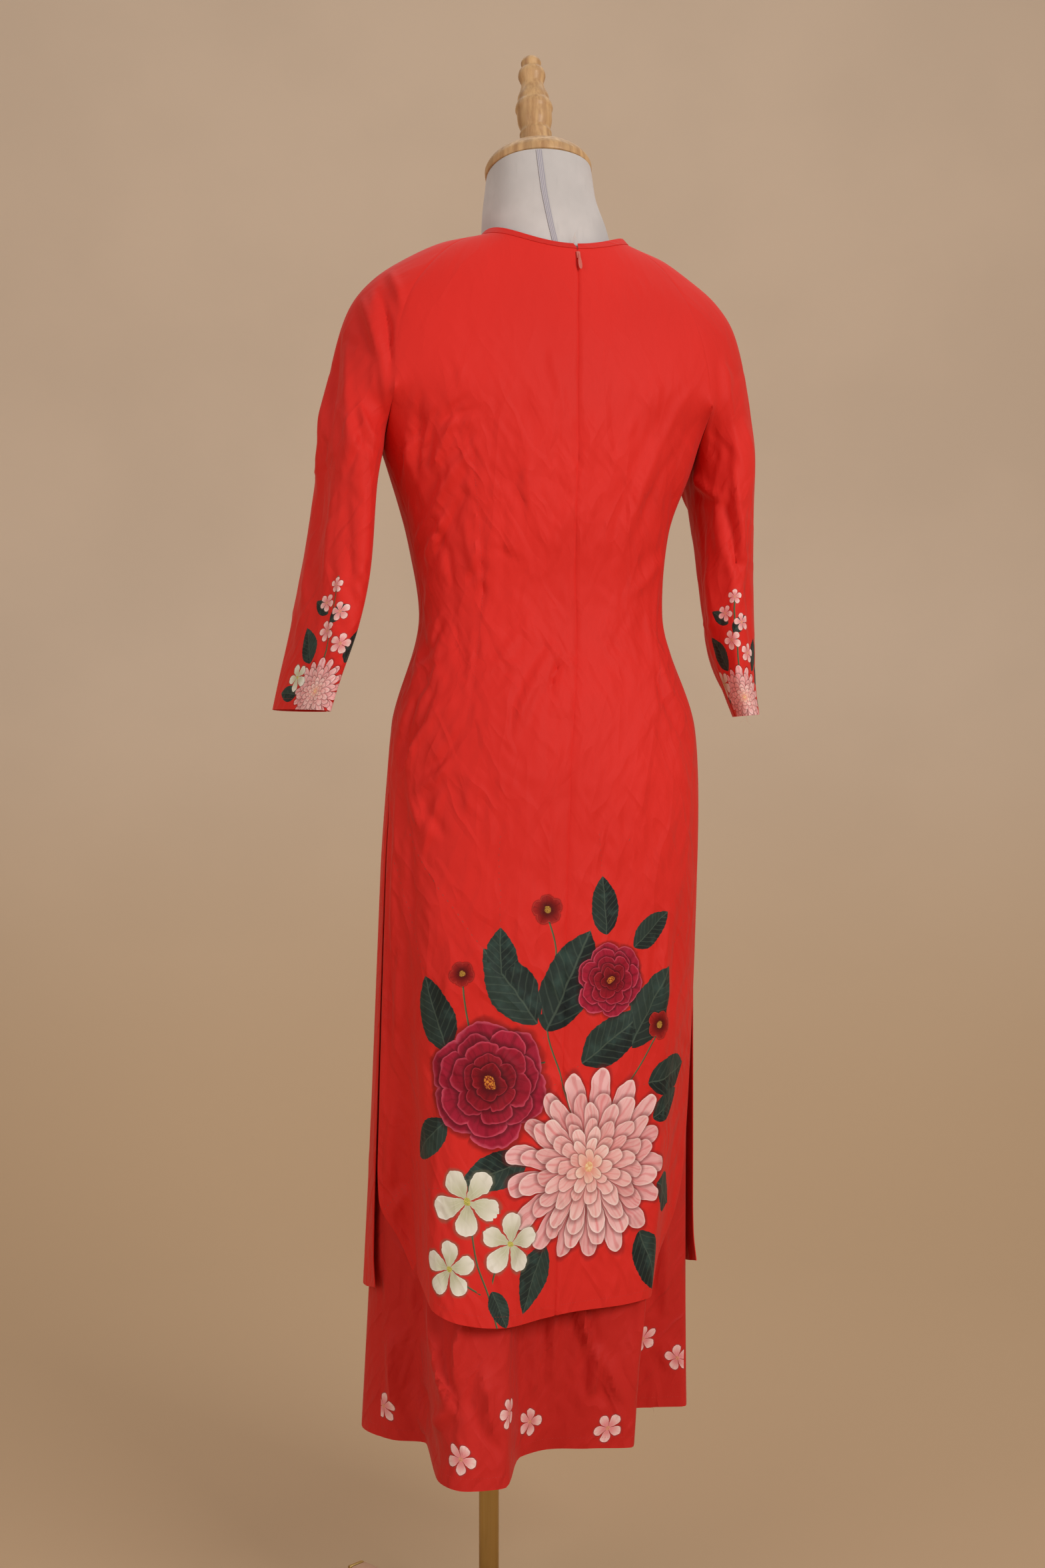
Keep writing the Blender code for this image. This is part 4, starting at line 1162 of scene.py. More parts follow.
def red_cloth(name, colour):
    """Starts a cloth material. It returns the builder, the plain colour, the roughness and the relief."""
    cloth = Finish(name, sheen_weight=0.05, sheen_roughness=0.4, specular_ior_level=0.20)
    place = cloth.node("UVMap", {"uv_map": "cloth"})
    across, height, _ = cloth.split(place)
    warp = cloth.noise(cloth.join(across * 1900, height * 260), 1.0, 1.0)
    weft = cloth.noise(cloth.join(across * 260, height * 1900), 1.0, 1.0)
    patch = cloth.noise(cloth.join(across, height), 8.0, 1.0)
    faded = cloth.noise(cloth.join(across, height), 3.0, 2.0)
    light = tuple(min(1.0, 1.07 * part + 0.004) for part in colour)
    dark = tuple(0.92 * part for part in colour)
    plain = cloth.mix(faded.step(0.3, 0.7), dark, light)
    plain = cloth.mix((warp + weft) * 0.25, plain, tuple(0.9 * part for part in colour))
    waves = cloth.noise(cloth.join(across, height * 0.5), 30.0, 2.0, 0.5)
    left = packed_creases(cloth, across, height, 24, 26.0) * patch.step(0.35, 0.6)
    right = packed_creases(cloth, across, height, -31, 34.0) * (1.0 - patch.step(0.42, 0.7))
    upright = packed_creases(cloth, across, height, 4, 19.0, 12.0)
    calm = 1.0 - height.step(1.30, 1.40) * 0.65
    relief = cloth.bump(waves * calm, 0.0062, 0.75)
    relief = cloth.bump((left + right + upright * 0.8) * calm, 0.0013, 0.9, relief)
    relief = cloth.bump(warp + weft, 0.00006, 0.35, relief)
    roughness = 0.60 + 0.12 * faded
    return cloth, plain, roughness, relief


cloth, plain, roughness, relief = red_cloth("tunic_red", TUNIC_RED)
tunic_red = cloth.done(plain, roughness, relief)
cloth, plain, roughness, relief = red_cloth("skirt_red", SKIRT_RED)
skirt_red = cloth.done(plain, roughness, relief)

# %% [markdown]
# ## Drawing a petal
# A ring of petals is drawn in polar measures. The angle times the number of petals tells which petal
# a point belongs to and how far aside of its middle it lies; the distance from the centre tells how
# far along. A petal ends where those two meet a rounded outline. Rings are laid over each other from
# the widest to the smallest, and each throws a little shade on the one beneath.

# %% Petals
TAU = 2 * math.pi


def motif_place(cloth, kind, wobble, wobble_scale=3.0):
    """A point's place in its motif, with a slight wobble as if drawn by hand, and the motif's tone."""
    place = cloth.node("Attribute", {"attribute_name": kind}, output=1)
    x, y, tone = cloth.split(place)
    lean = cloth.noise(cloth.join(x, y, tone + 3.0), wobble_scale, 2.0) - 0.5
    sway = cloth.noise(cloth.join(x, y, tone + 8.0), wobble_scale, 2.0) - 0.5
    return x + lean * wobble, y + sway * wobble, tone


def in_polar(x, y):
    radius = (x * x + y * y) ** 0.5
    return radius, y.maths("ARCTAN2", y, x) / TAU


def petal_ring(cloth, polar, count, reach, offset, blunt=3.0, narrow=1.0, uneven=0.14):
    """One ring of petals: how far inside its outline a point lies, its place there, the petal's tone."""
    radius, turns = polar
    place = turns * float(count) + (offset + 40.0)
    number = place.floor()
    number = number - (number / float(count)).floor() * float(count)
    own = cloth.node("TexWhiteNoise", {"noise_dimensions": "1D"}, {"W": number + reach * 31.0})
    aside = abs((place - place.floor()) * 2.0 - 1.0)
    along = radius / (reach - own * (reach * uneven))
    edge = (1.0 - along**blunt) - aside * aside * narrow
    return SimpleNamespace(edge=edge, along=along, aside=aside, own=own)


def laid(cloth, under, ring, base, tip, rim, vein, shade=0.55):
    """A ring of petals over what lies under it: shade first, then the petals."""
    under = cloth.mix(ring.edge.step(-0.55, 0.0) * shade, under, tuple(0.25 * part for part in base))
    petal = cloth.mix(ring.along.step(0.25, 0.95), base, tip)
    streaks = cloth.noise(cloth.join(ring.aside * 7.0, ring.along * 1.2, ring.own * 9.0), 1.0, 2.0)
    petal = cloth.mix(streaks.step(0.45, 0.75) * 0.55, petal, vein)
    petal = cloth.mix((1.0 - ring.aside.step(0.0, 0.14)) * 0.5, petal, vein)
    petal = cloth.mix((1.0 - ring.edge.step(0.0, 0.22)) * 0.85, petal, rim)
    petal = cloth.mix(ring.own * 0.35, petal, base)
    return cloth.mix(ring.edge.step(0.0, 0.035), under, petal)


def draw_leaves(cloth, under):
    x, y, tone = motif_place(cloth, "leaf", 0.07)
    inside = (x * (1.0 - x) * 4.0).most(0.0)
    width = inside**0.75 * (0.31 - 0.11 * x)
    side = abs(y)
    teeth = ((x * 70.0).sine() * 0.006).most(0.0)
    edge = width + teeth - side
    ribs = (((x * 9.0 - side * 9.0) - (x * 9.0 - side * 9.0).floor()) * 2.0 - 1.0)
    ribs = 1.0 - abs(ribs).step(0.0, 0.28)
    middle = 1.0 - side.step(0.004, 0.014)
    blade = cloth.mix(tone, (0.007, 0.012, 0.013), (0.020, 0.033, 0.029))
    mottled = cloth.noise(cloth.join(x * 5.0, y * 5.0, tone * 9.0), 1.0, 3.0)
    blade = cloth.mix(mottled.step(0.45, 0.8) * 0.7, blade, (0.040, 0.085, 0.074))
    blade = cloth.mix(y.step(-0.02, 0.03) * 0.22, blade, (0.055, 0.100, 0.080))
    blade = cloth.mix((ribs * 0.35).most(middle * 0.6), blade, (0.085, 0.125, 0.095))
    return cloth.mix(edge.step(0.0, 0.008), under, blade)


def draw_stems(cloth, under):
    _, aside, length = cloth.split(cloth.node("Attribute", {"attribute_name": "stem"}, output=1))
    distance = abs(aside * length)
    near = 1.0 - distance.step(0.0007, 0.0011)
    green = cloth.mix((aside * length).step(-0.0006, 0.0006), (0.040, 0.080, 0.040), (0.120, 0.170, 0.080))
    return cloth.mix(near, under, green)


def draw_rings(cloth, under, kind, wobble, rings, heart, heart_reach):
    x, y, tone = motif_place(cloth, kind, wobble)
    polar = in_polar(x, y)
    for count, reach, offset, blunt, narrow, base, tip, rim, vein in rings:
        ring = petal_ring(cloth, polar, count, reach, offset, blunt, narrow)
        under = laid(cloth, under, ring, base, tip, rim, vein)
    grains = cloth.noise(cloth.join(x * 34.0, y * 34.0), 1.0, 2.0)
    middle = cloth.mix(grains.step(0.4, 0.65), heart[0], heart[1])
    return cloth.mix(1.0 - polar[0].step(0.8 * heart_reach, heart_reach), under, middle), tone


# %% [markdown]
# ## The bouquet
# The kinds of flower are general ones: a wide bloom of many slim pink petals, a full crimson one, a
# small dark rose with a warm heart, white five-petalled sprays and small red flowers over dark
# leaves. Each is a list of rings: number of petals, reach, turn, outline and four colours.

# %% Bouquet
PINK_RINGS = [
    # petals, reach, turn, bluntness, slimness, base, tip, rim, vein
    (17, 1.0, 0.0, 7.0, 1.5, (0.52, 0.04, 0.05), (0.92, 0.56, 0.58), (0.97, 0.78, 0.77), (0.7, 0.16, 0.18)),
    (16, 0.84, 0.4, 6.0, 1.2, (0.6, 0.05, 0.06), (0.93, 0.59, 0.6), (0.97, 0.8, 0.78), (0.74, 0.17, 0.19)),
    (15, 0.69, 0.1, 5.0, 1.1, (0.55, 0.05, 0.06), (0.93, 0.62, 0.62), (0.97, 0.83, 0.8), (0.76, 0.2, 0.22)),
    (13, 0.55, 0.6, 4.0, 1.0, (0.66, 0.1, 0.11), (0.94, 0.65, 0.64), (0.97, 0.84, 0.81), (0.8, 0.27, 0.28)),
    (11, 0.42, 0.3, 4.0, 1.0, (0.72, 0.17, 0.17), (0.95, 0.68, 0.66), (0.98, 0.86, 0.82), (0.83, 0.32, 0.32)),
    (9, 0.29, 0.7, 3.0, 0.9, (0.75, 0.23, 0.21), (0.95, 0.7, 0.67), (0.98, 0.87, 0.82), (0.85, 0.36, 0.34)),
    (6, 0.17, 0.2, 3.0, 0.9, (0.8, 0.33, 0.26), (0.94, 0.69, 0.6), (0.96, 0.84, 0.75), (0.87, 0.42, 0.36)),
]
PINK_HEART = ((0.78, 0.40, 0.20), (0.93, 0.70, 0.42))
CRIMSON_RINGS = [
    (6, 1.0, 0.2, 5.0, 0.55, (0.12, 0.002, 0.01), (0.42, 0.012, 0.045),
     (0.72, 0.11, 0.19), (0.23, 0.004, 0.02)),
    (7, 0.83, 0.7, 5.0, 0.6, (0.1, 0.002, 0.01), (0.4, 0.01, 0.04), (0.68, 0.09, 0.16), (0.21, 0.004, 0.018)),
    (6, 0.65, 0.1, 4.0, 0.6, (0.09, 0.001, 0.008), (0.36, 0.008, 0.03),
     (0.64, 0.07, 0.13), (0.18, 0.003, 0.014)),
    (5, 0.47, 0.5, 4.0, 0.6, (0.08, 0.001, 0.006), (0.32, 0.006, 0.02),
     (0.56, 0.05, 0.09), (0.15, 0.002, 0.01)),
    (4, 0.3, 0.9, 3.0, 0.6, (0.07, 0.001, 0.005), (0.27, 0.004, 0.012),
     (0.46, 0.03, 0.05), (0.12, 0.002, 0.008)),
]
CRIMSON_HEART = ((0.20, 0.010, 0.008), (0.80, 0.300, 0.040))
WHITE_RINGS = [
    (5, 1.0, 0.0, 4.0, 1.35, (0.55, 0.56, 0.38), (0.88, 0.86, 0.8), (0.94, 0.93, 0.89), (0.72, 0.71, 0.62)),
]
WHITE_HEART = ((0.35, 0.400, 0.080), (0.80, 0.640, 0.150))
SMALL_RINGS = [
    (5, 1.0, 0.3, 4.0, 0.6, (0.08, 0.002, 0.002), (0.4, 0.014, 0.012),
     (0.58, 0.06, 0.04), (0.2, 0.004, 0.004)),
]
SMALL_HEART = ((0.050, 0.004, 0.002), (0.85, 0.500, 0.080))
SPRAY_RINGS = [
    (5, 1.0, 0.3, 4.0, 1.3, (0.78, 0.26, 0.28), (0.94, 0.72, 0.7), (0.97, 0.84, 0.82), (0.85, 0.46, 0.46)),
]
SPRAY_HEART = ((0.60, 0.100, 0.100), (0.92, 0.640, 0.400))


def draw_bouquet(cloth, plain):
    drawn = draw_leaves(cloth, draw_stems(cloth, plain))
    drawn, _ = draw_rings(cloth, drawn, "cup_bloom", 0.20, CRIMSON_RINGS, CRIMSON_HEART, 0.10)
    drawn, _ = draw_rings(cloth, drawn, "star_bloom", 0.13, PINK_RINGS, PINK_HEART, 0.05)
    red_small, tone = draw_rings(cloth, drawn, "small_bloom", 0.16, SMALL_RINGS, SMALL_HEART, 0.24)
    pink_small, _ = draw_rings(cloth, drawn, "small_bloom", 0.16, SPRAY_RINGS, SPRAY_HEART, 0.18)
    drawn = cloth.mix(tone.step(0.85, 0.95), red_small, pink_small)
    drawn, _ = draw_rings(cloth, drawn, "white_bloom", 0.16, WHITE_RINGS, WHITE_HEART, 0.11)
    return drawn


cloth, plain, roughness, relief = red_cloth("tunic_print", TUNIC_RED)
tunic_print = cloth.done(draw_bouquet(cloth, plain), roughness, relief)
cloth, plain, roughness, relief = red_cloth("skirt_print", SKIRT_RED)
drawn, _ = draw_rings(cloth, plain, "blossom", 0.12, SPRAY_RINGS, SPRAY_HEART, 0.16)
skirt_print = cloth.done(drawn, roughness, relief)
print("print nodes:", len(tunic_print.node_tree.nodes))

# %% [markdown]
# ## The neck band
# The neckline is finished with a folded band, nine millimetres wide, whose two ends part in a small V
# above the zip. Its top edge is a fold. Here the band is a narrow strip that rises and leans in from
# the neckline, and it is given its thickness like the other sheets.

# %% Neck band
BAND_RISE = 0.0065
BAND_DRAW = 0.0055
BAND_OPENING_TOP = 0.0052
BAND_OPENING_FOOT = 0.0008
BAND_COLUMNS = 190
BAND_SHARES = (0.0, 0.12, 0.3, 0.5, 0.7, 0.88, 1.0)
BAND_THICKNESS = 0.0016
BAND_PUCKER = 0.0002

band_row = YOKE.at(np.array(0.0))
band_rings = []
for share in BAND_SHARES[::-1]:
    level = SimpleNamespace(
        half_width=band_row.half_width - BAND_DRAW * share,
        back=band_row.back - BAND_DRAW * share,
        front=band_row.front - BAND_DRAW * share,
        side=band_row.side + BAND_RISE * share + SEAM_GAP,
        back_height=band_row.back_height + BAND_RISE * share + SEAM_GAP,
        front_height=band_row.front_height + BAND_RISE * share + SEAM_GAP,
        centre=band_row.centre,
    )
    opening = BAND_OPENING_FOOT + share * (BAND_OPENING_TOP - BAND_OPENING_FOOT)
    half_gap = np.degrees(opening / 2 / band_row.half_width)
    round_neck = between(band_row.cb + half_gap, band_row.cb + 360 - half_gap, BAND_COLUMNS)
    band_rings.append(ring_point(level, round_neck))
band_grid = np.array(band_rings)
band_run = run_along(band_grid)
band_fade = np.sin(np.pi * np.array(BAND_SHARES))[:, None]
band_pucker = np.sin(band_run * 620) * np.sin(band_run * 173 + 1.0) * band_fade
band_grid = band_grid + outward_normals(band_grid) * (BAND_PUCKER * band_pucker)[..., None]
band_measures = np.stack([band_run - band_run[:, -1:] / 2, band_grid[..., 2]], axis=-1)
sheets["neck_band"] = sheet_mesh("neck_band_cloth", band_grid, band_measures, thickness=BAND_THICKNESS)
print("neck band round:", round(float(band_run[0, -1]), 3))

# %% [markdown]
# ## The skirt's waistband
# It lies under the tunic, so it only shows to someone who lifts the cloth. An elastic runs in it,
# which gathers the band into small upright waves.

# %% Waistband
ELASTIC_WAVES = 90
ELASTIC_DEPTH = 0.0007

waist_heights = np.linspace(SKIRT_TOP + WAISTBAND, SKIRT_TOP + SOLID_WALL / 2 + SEAM_GAP, 9)[:, None]
waist_angles = np.broadcast_to(between(SIDE_SEAM, SIDE_SEAM + 360, 400), (9, 401))
waist_grid = torso_point(np.broadcast_to(waist_heights, (9, 401)), waist_angles, SKIRT_INSET)
wave_fade = np.sin(np.linspace(0.4, math.pi - 0.4, 9))[:, None]
waves = np.sin(np.radians(waist_angles - SIDE_SEAM) * ELASTIC_WAVES) * wave_fade
waist_grid = waist_grid + outward_normals(waist_grid) * (ELASTIC_DEPTH * waves)[..., None]
waist_run = run_along(waist_grid)
waist_measures = np.stack([waist_run - waist_run[:, -1:] / 2, waist_grid[..., 2]], axis=-1)
sheets["waistband"] = sheet_mesh("waistband_cloth", waist_grid, waist_measures, thickness=BAND_THICKNESS)

# %% [markdown]
# ## The dress form
# The torso is a padded shell under a tight linen cover. Only the neck shows, but the rest is there
# for anyone who looks in from below. Its rings come from the form's own table and are closed by a
# flat fan at the top and the bottom.

# %% Form
FORM = Rows(
    "place half_width side back back_height front front_height centre",
    [
        (0, 0.0580, 1.6280, 0.0580, 1.6403, 0.0580, 1.6157, 0.0000),
        (1, 0.0622, 1.6000, 0.0590, 1.6050, 0.0590, 1.5950, -0.0010),
        (2, 0.0695, 1.5720, 0.0590, 1.5640, 0.0600, 1.5500, -0.0058),
        (3, 0.0725, 1.5540, 0.0590, 1.5340, 0.0640, 1.5000, -0.0083),
        (4, 0.0800, 1.5410, 0.0620, 1.5100, 0.0720, 1.4600, -0.0080),
        (5, 0.1180, 1.5363, 0.0760, 1.4800, 0.0880, 1.4250, -0.0110),
        (6, 0.1580, 1.5175, 0.0900, 1.4450, 0.1000, 1.3950, -0.0085),
        (7, 0.1800, 1.4995, 0.0970, 1.4200, 0.1060, 1.3800, -0.0070),
        (8, 0.1890, 1.4730, 0.1000, 1.4000, 0.1100, 1.3700, -0.0060),
        (9, 0.1850, 1.4200, 0.1010, 1.3800, 0.1110, 1.3600, -0.0050),
        (10, 0.1700, 1.3500, 0.1000, 1.3400, 0.1110, 1.3350, -0.0030),
        (11, 0.1640, 1.3000, 0.0980, 1.3000, 0.1100, 1.3000, -0.0020),
        (12, 0.1340, 1.2300, 0.0890, 1.2300, 0.1060, 1.2300, 0.0000),
        (13, 0.1268, 1.1400, 0.0778, 1.1400, 0.0888, 1.1400, -0.0040),
        (14, 0.1590, 1.0100, 0.0990, 1.0100, 0.0960, 1.0100, -0.0070),
        (15, 0.1630, 0.9200, 0.1060, 0.9200, 0.0980, 0.9200, -0.0050),
        (16, 0.1590, 0.8300, 0.1020, 0.8300, 0.0950, 0.8300, -0.0020),
        (17, 0.1550, 0.7900, 0.0980, 0.7900, 0.0920, 0.7900, 0.0000),
    ],
)
FORM_SIDES = 96
FORM_RINGS = 138


def ring_mesh(name, rings, smooth_degrees=40):
    """A closed solid through rings that run from the top down."""
    count, sides = rings.shape[:2]
    points = (rings + BASE_MIDDLE).reshape(-1, 3).tolist()
    ends = (rings[0] + BASE_MIDDLE, rings[-1] + BASE_MIDDLE)
    points += [points_of_ring.mean(axis=0).tolist() for points_of_ring in ends]
    index = np.arange(count * sides).reshape(count, sides)
    after = np.roll(index, -1, axis=1)
    corners = [index[:-1].ravel(), after[:-1].ravel(), after[1:].ravel(), index[1:].ravel()]
    walls = np.stack(corners, axis=1).tolist()
    top = [(count * sides, b, a) for a, b in zip(index[0], after[0])]
    foot = [(count * sides + 1, a, b) for a, b in zip(index[-1], after[-1])]
    mesh = bpy.data.meshes.new(name)
    mesh.from_pydata(points, [], walls + [tuple(map(int, face)) for face in top + foot])
    obj = bpy.data.objects.new(name, mesh)
    bpy.context.scene.collection.objects.link(obj)
    make_active(obj)
    bpy.ops.object.shade_smooth_by_angle(angle=math.radians(smooth_degrees))
    return obj


form_places = np.linspace(0, 17, FORM_RINGS)[:, None]
form_angles = np.linspace(0, 360, FORM_SIDES + 1)[None, :-1]
round_form = np.broadcast_to(form_angles, (FORM_RINGS, FORM_SIDES))
form = ring_mesh("dress_form", ring_point(FORM.at(form_places), round_form))

TAPE_WIDTH = 0.0055
TAPE_STAND = 0.0006
tape_places = np.linspace(0.03, 3.4, 60)[:, None]
tape_middle = 16.0 - 3.75 * tape_places
tape_half = np.degrees(TAPE_WIDTH / 2 / FORM.at(tape_places).half_width)
tape_grid = ring_point(FORM.at(tape_places), tape_middle + tape_half * np.linspace(-1, 1, 9))
tape_grid = tape_grid + outward_normals(tape_grid) * TAPE_STAND
tape_measures = np.stack([run_along(tape_grid), tape_grid[..., 2]], axis=-1)
tape = sheet_mesh("form_seam_tape", tape_grid, tape_measures, thickness=0.0005)
print("form rings:", FORM_RINGS, "tape length:", round(float(tape_grid[0, 0, 2] - tape_grid[-1, 0, 2]), 3))

# %% [markdown]
# ## Linen, wood and brass
# The cover is a pale grey linen with a visible twill. The turned top is honey coloured wood under a
# glossy varnish: its grain is a stretched noise, with darker bands from a slower noise. The pole
# is brushed brass that has begun to tarnish.

# %% Finishes of the form and the stand
def linen_finish(name, colour, scale=900):
    linen = Finish(name, roughness=0.85, sheen_weight=0.15)
    x, y, z = linen.split(linen.node("TexCoord", output=3))
    run = linen.node("Math", {"operation": "ARCTAN2"}, {0: x - float(BASE_MIDDLE[0]), 1: y}) * 0.06
    threads = ((run + z * 0.5) * scale * 6.0).sine() * 0.5 + 0.5
    slubs = linen.noise(linen.join(run * 160, z * 30), 1.0, 3.0)
    worn = linen.noise(linen.join(x, y, z), 22.0, 3.0)
    tone = linen.mix(worn.step(0.3, 0.75), tuple(0.86 * part for part in colour), colour)
    tone = linen.mix(slubs.step(0.55, 0.8) * 0.35, tone, tuple(0.78 * part for part in colour))
    relief = linen.bump(threads, 0.00012, 0.3)
    relief = linen.bump(slubs, 0.0003, 0.3, relief)
    return linen.done(tone, 0.78 + 0.14 * worn, relief)


def wood_finish(name, dark, light, gloss=0.30, coat=0.35, along="z"):
    wood = Finish(name, coat_weight=coat, coat_roughness=0.12)
    x, y, z = wood.split(wood.node("TexCoord", output=3))
    if along == "z":
        grain_place = wood.join(x * 150, y * 150, z * 9)
    else:
        grain_place = wood.join(x * 22, y * 22, z * 190)
    grain = wood.noise(grain_place, 1.0, 4.0, 0.6)
    pores = wood.noise(wood.join(x * 900, y * 900, z * 60), 1.0, 2.0)
    bands = wood.noise(wood.join(x * 40, y * 40, z * 16), 1.0, 2.0)
    tone = wood.mix(grain.step(0.32, 0.68), dark, light)
    tone = wood.mix(bands.step(0.45, 0.75) * 0.5, tone, tuple(0.62 * part for part in light))
    tone = wood.mix(pores.step(0.62, 0.8) * 0.45, tone, tuple(0.4 * part for part in dark))
    relief = wood.bump(grain + pores, 0.00015, 0.25)
    return wood.done(tone, gloss + 0.12 * grain, relief)


def brass_finish():
    brass = Finish("brushed_brass", metallic=1.0)
    x, y, z = brass.split(brass.node("TexCoord", output=3))
    brushed = brass.noise(brass.join(x * 1400, y * 1400, z * 12), 1.0, 2.0)
    stains = brass.noise(brass.join(x * 30, y * 30, z * 9), 1.0, 3.0)
    tone = brass.mix(stains.step(0.35, 0.75), (0.52, 0.36, 0.13), (0.38, 0.25, 0.085))
    tone = brass.mix(brushed.step(0.4, 0.8) * 0.3, tone, (0.62, 0.46, 0.2))
    return brass.done(tone, 0.27 + 0.16 * stains, brass.bump(brushed, 0.00004, 0.3))


linen_cover = linen_finish("linen_cover", (0.59, 0.575, 0.58))
lines = Finish("lilac_tape", roughness=0.85, sheen_weight=0.1)
run, _, _ = lines.split(lines.node("UVMap", {"uv_map": "cloth"}))
stripes = (run * (2 * math.pi * 3 / TAPE_WIDTH)).sine() * 0.5 + 0.5
tape_tone = lines.mix(stripes.step(0.35, 0.75), (0.50, 0.490, 0.520), (0.30, 0.290, 0.370))
seam_tape = lines.done(tape_tone, 0.8, lines.bump(stripes, 0.0003, 0.5))
honey_wood = wood_finish("honey_wood", (0.40, 0.220, 0.095), (0.62, 0.395, 0.190), 0.50, 0.10)
leg_wood = wood_finish("leg_wood", (0.36, 0.19, 0.12), (0.52, 0.31, 0.21), 0.45, 0.1, along="side")
brushed_brass = brass_finish()
form.data.materials.append(linen_cover)
tape.data.materials[0] = seam_tape

# %% [markdown]
# ## The turned top
# A wooden cap closes the neck and a finial stands on it. Turned work is a circle that is drawn up and
# scaled at each step of a profile, which extrude and resize do exactly. The profile is read from
# a smooth curve through a few measured radii.

# %% Turning
CAP_TILT = 12.0
CAP_HEIGHT = 1.6287
CAP_PROFILE = [
    (0.0570, 0.0000),
    (0.0595, 0.0015),
    (0.0598, 0.0070),
    (0.0575, 0.0125),
    (0.0505, 0.0200),
    (0.0400, 0.0265),
    (0.0280, 0.0310),
    (0.0190, 0.0325),
]
FINIAL_PROFILE = [
    (0.0178, 0.0000),
    (0.0180, 0.0090),
    (0.0177, 0.0153),
    (0.0181, 0.0189),
    (0.0168, 0.0224),
    (0.0165, 0.0248),
    (0.0177, 0.0284),
    (0.0194, 0.0355),
    (0.0198, 0.0455),
    (0.0212, 0.0498),
    (0.0204, 0.0546),
    (0.0182, 0.0594),
    (0.0177, 0.0640),
    (0.0166, 0.0677),
    (0.0143, 0.0736),
    (0.0126, 0.0810),
    (0.0143, 0.0867),
    (0.0155, 0.0915),
    (0.0142, 0.0975),
    (0.0107, 0.1020),
    (0.0115, 0.1075),
    (0.0095, 0.1122),
]


def finer(profile, steps=4):
    """The same profile with points between, on a smooth curve."""
    curve = Rows("t radius height", [(t, *point) for t, point in enumerate(profile)])
    fine = curve.at(np.linspace(0, len(profile) - 1, (len(profile) - 1) * steps + 1))
    return list(zip(fine.radius.tolist(), fine.height.tolist()))


def turned(name, profile, sides=64, degrees=35):
    """A turned solid: a disc drawn up along the profile, from its foot to its top."""
    deselect()
    radius, height = profile[0]
    place = (0, 0, height)
    bpy.ops.mesh.primitive_circle_add(vertices=sides, radius=radius, fill_type="NGON", location=place)
    obj = bpy.context.object
    obj.name = obj.data.name = name
    bpy.ops.object.transform_apply(location=True)
    bpy.ops.object.mode_set(mode="EDIT")
    bpy.ops.mesh.select_all(action="SELECT")
    for (r0, h0), (r1, h1) in zip(profile, profile[1:]):
        bpy.ops.mesh.extrude_region_move(TRANSFORM_OT_translate={"value": (0, 0, h1 - h0)})
        bpy.ops.transform.resize(value=(r1 / r0, r1 / r0, 1))
    bpy.ops.mesh.select_all(action="SELECT")
    bpy.ops.mesh.normals_make_consistent(inside=False)
    bpy.ops.object.mode_set(mode="OBJECT")
    bpy.ops.object.shade_smooth_by_angle(angle=math.radians(degrees))
    return obj


def settle(obj, place, tilt=0.0, turn=0.0):
    """Puts a finished piece at its place and leaves its object at the origin."""
    make_active(obj)
    obj.rotation_euler = (math.radians(tilt), 0, math.radians(turn))
    obj.location = place
    bpy.ops.object.transform_apply(location=True, rotation=True, scale=True)
    return obj


tilt = math.radians(CAP_TILT)
cap_foot = BASE_MIDDLE + [0, 0, CAP_HEIGHT]
finial_foot = cap_foot + (CAP_PROFILE[-1][1] + SEAM_GAP) * np.array([0, -math.sin(tilt), math.cos(tilt)])
neck_cap = settle(turned("turned_neck_cap", finer(CAP_PROFILE), 96), cap_foot, CAP_TILT)
finial = settle(turned("turned_finial", finer(FINIAL_PROFILE)), finial_foot, CAP_TILT)
for obj in (neck_cap, finial):
    obj.data.materials.append(honey_wood)
print("finial top at", round(max(v.co.z for v in finial.data.vertices), 3))

# %% [markdown]
# ## Pole, hub and legs
# The form stands on a brass tube that drops into a hub with three flat wooden legs. A leg is a bar that
# tapers to its end: a cube is placed at its size, its far end is scaled in edit mode, and its edges
# are beveled. A thin brass shoe caps the end.

# %% Stand
POLE_X, POLE_Y = 0.0575, 0.0
FORM_BOTTOM = 0.790
POLE_RADIUS = 0.0110
HUB_RADIUS = 0.030
HUB_HEIGHT = 0.050
LEG_LENGTH = 0.225
LEG_WIDTH = 0.024
LEG_HEIGHT = 0.022
LEG_TURN = 150.0
SHOE_LENGTH = 0.006

collar_top = FORM_BOTTOM - SEAM_GAP
pole = turned(
    "brass_pole",
    [
        (POLE_RADIUS, HUB_HEIGHT + SEAM_GAP),
        (POLE_RADIUS, collar_top - 0.030),
        (0.0150, collar_top - 0.0285),
        (0.0152, collar_top - 0.0080),
        (0.0318, collar_top - 0.0062),
        (0.0320, collar_top),
    ],
)
hub = turned(
    "brass_hub",
    [
        (HUB_RADIUS - 0.001, 0.0),
        (HUB_RADIUS, 0.001),
        (HUB_RADIUS, HUB_HEIGHT - 0.012),
        (HUB_RADIUS - 0.002, HUB_HEIGHT - 0.0085),
        (HUB_RADIUS - 0.006, HUB_HEIGHT - 0.004),
        (HUB_RADIUS - 0.012, HUB_HEIGHT - 0.0015),
        (HUB_RADIUS - 0.017, HUB_HEIGHT),
    ],
)
pole_foot = BASE_MIDDLE + [POLE_X, POLE_Y, 0]
for obj in (pole, hub):
    settle(obj, pole_foot)
    obj.data.materials.append(brushed_brass)


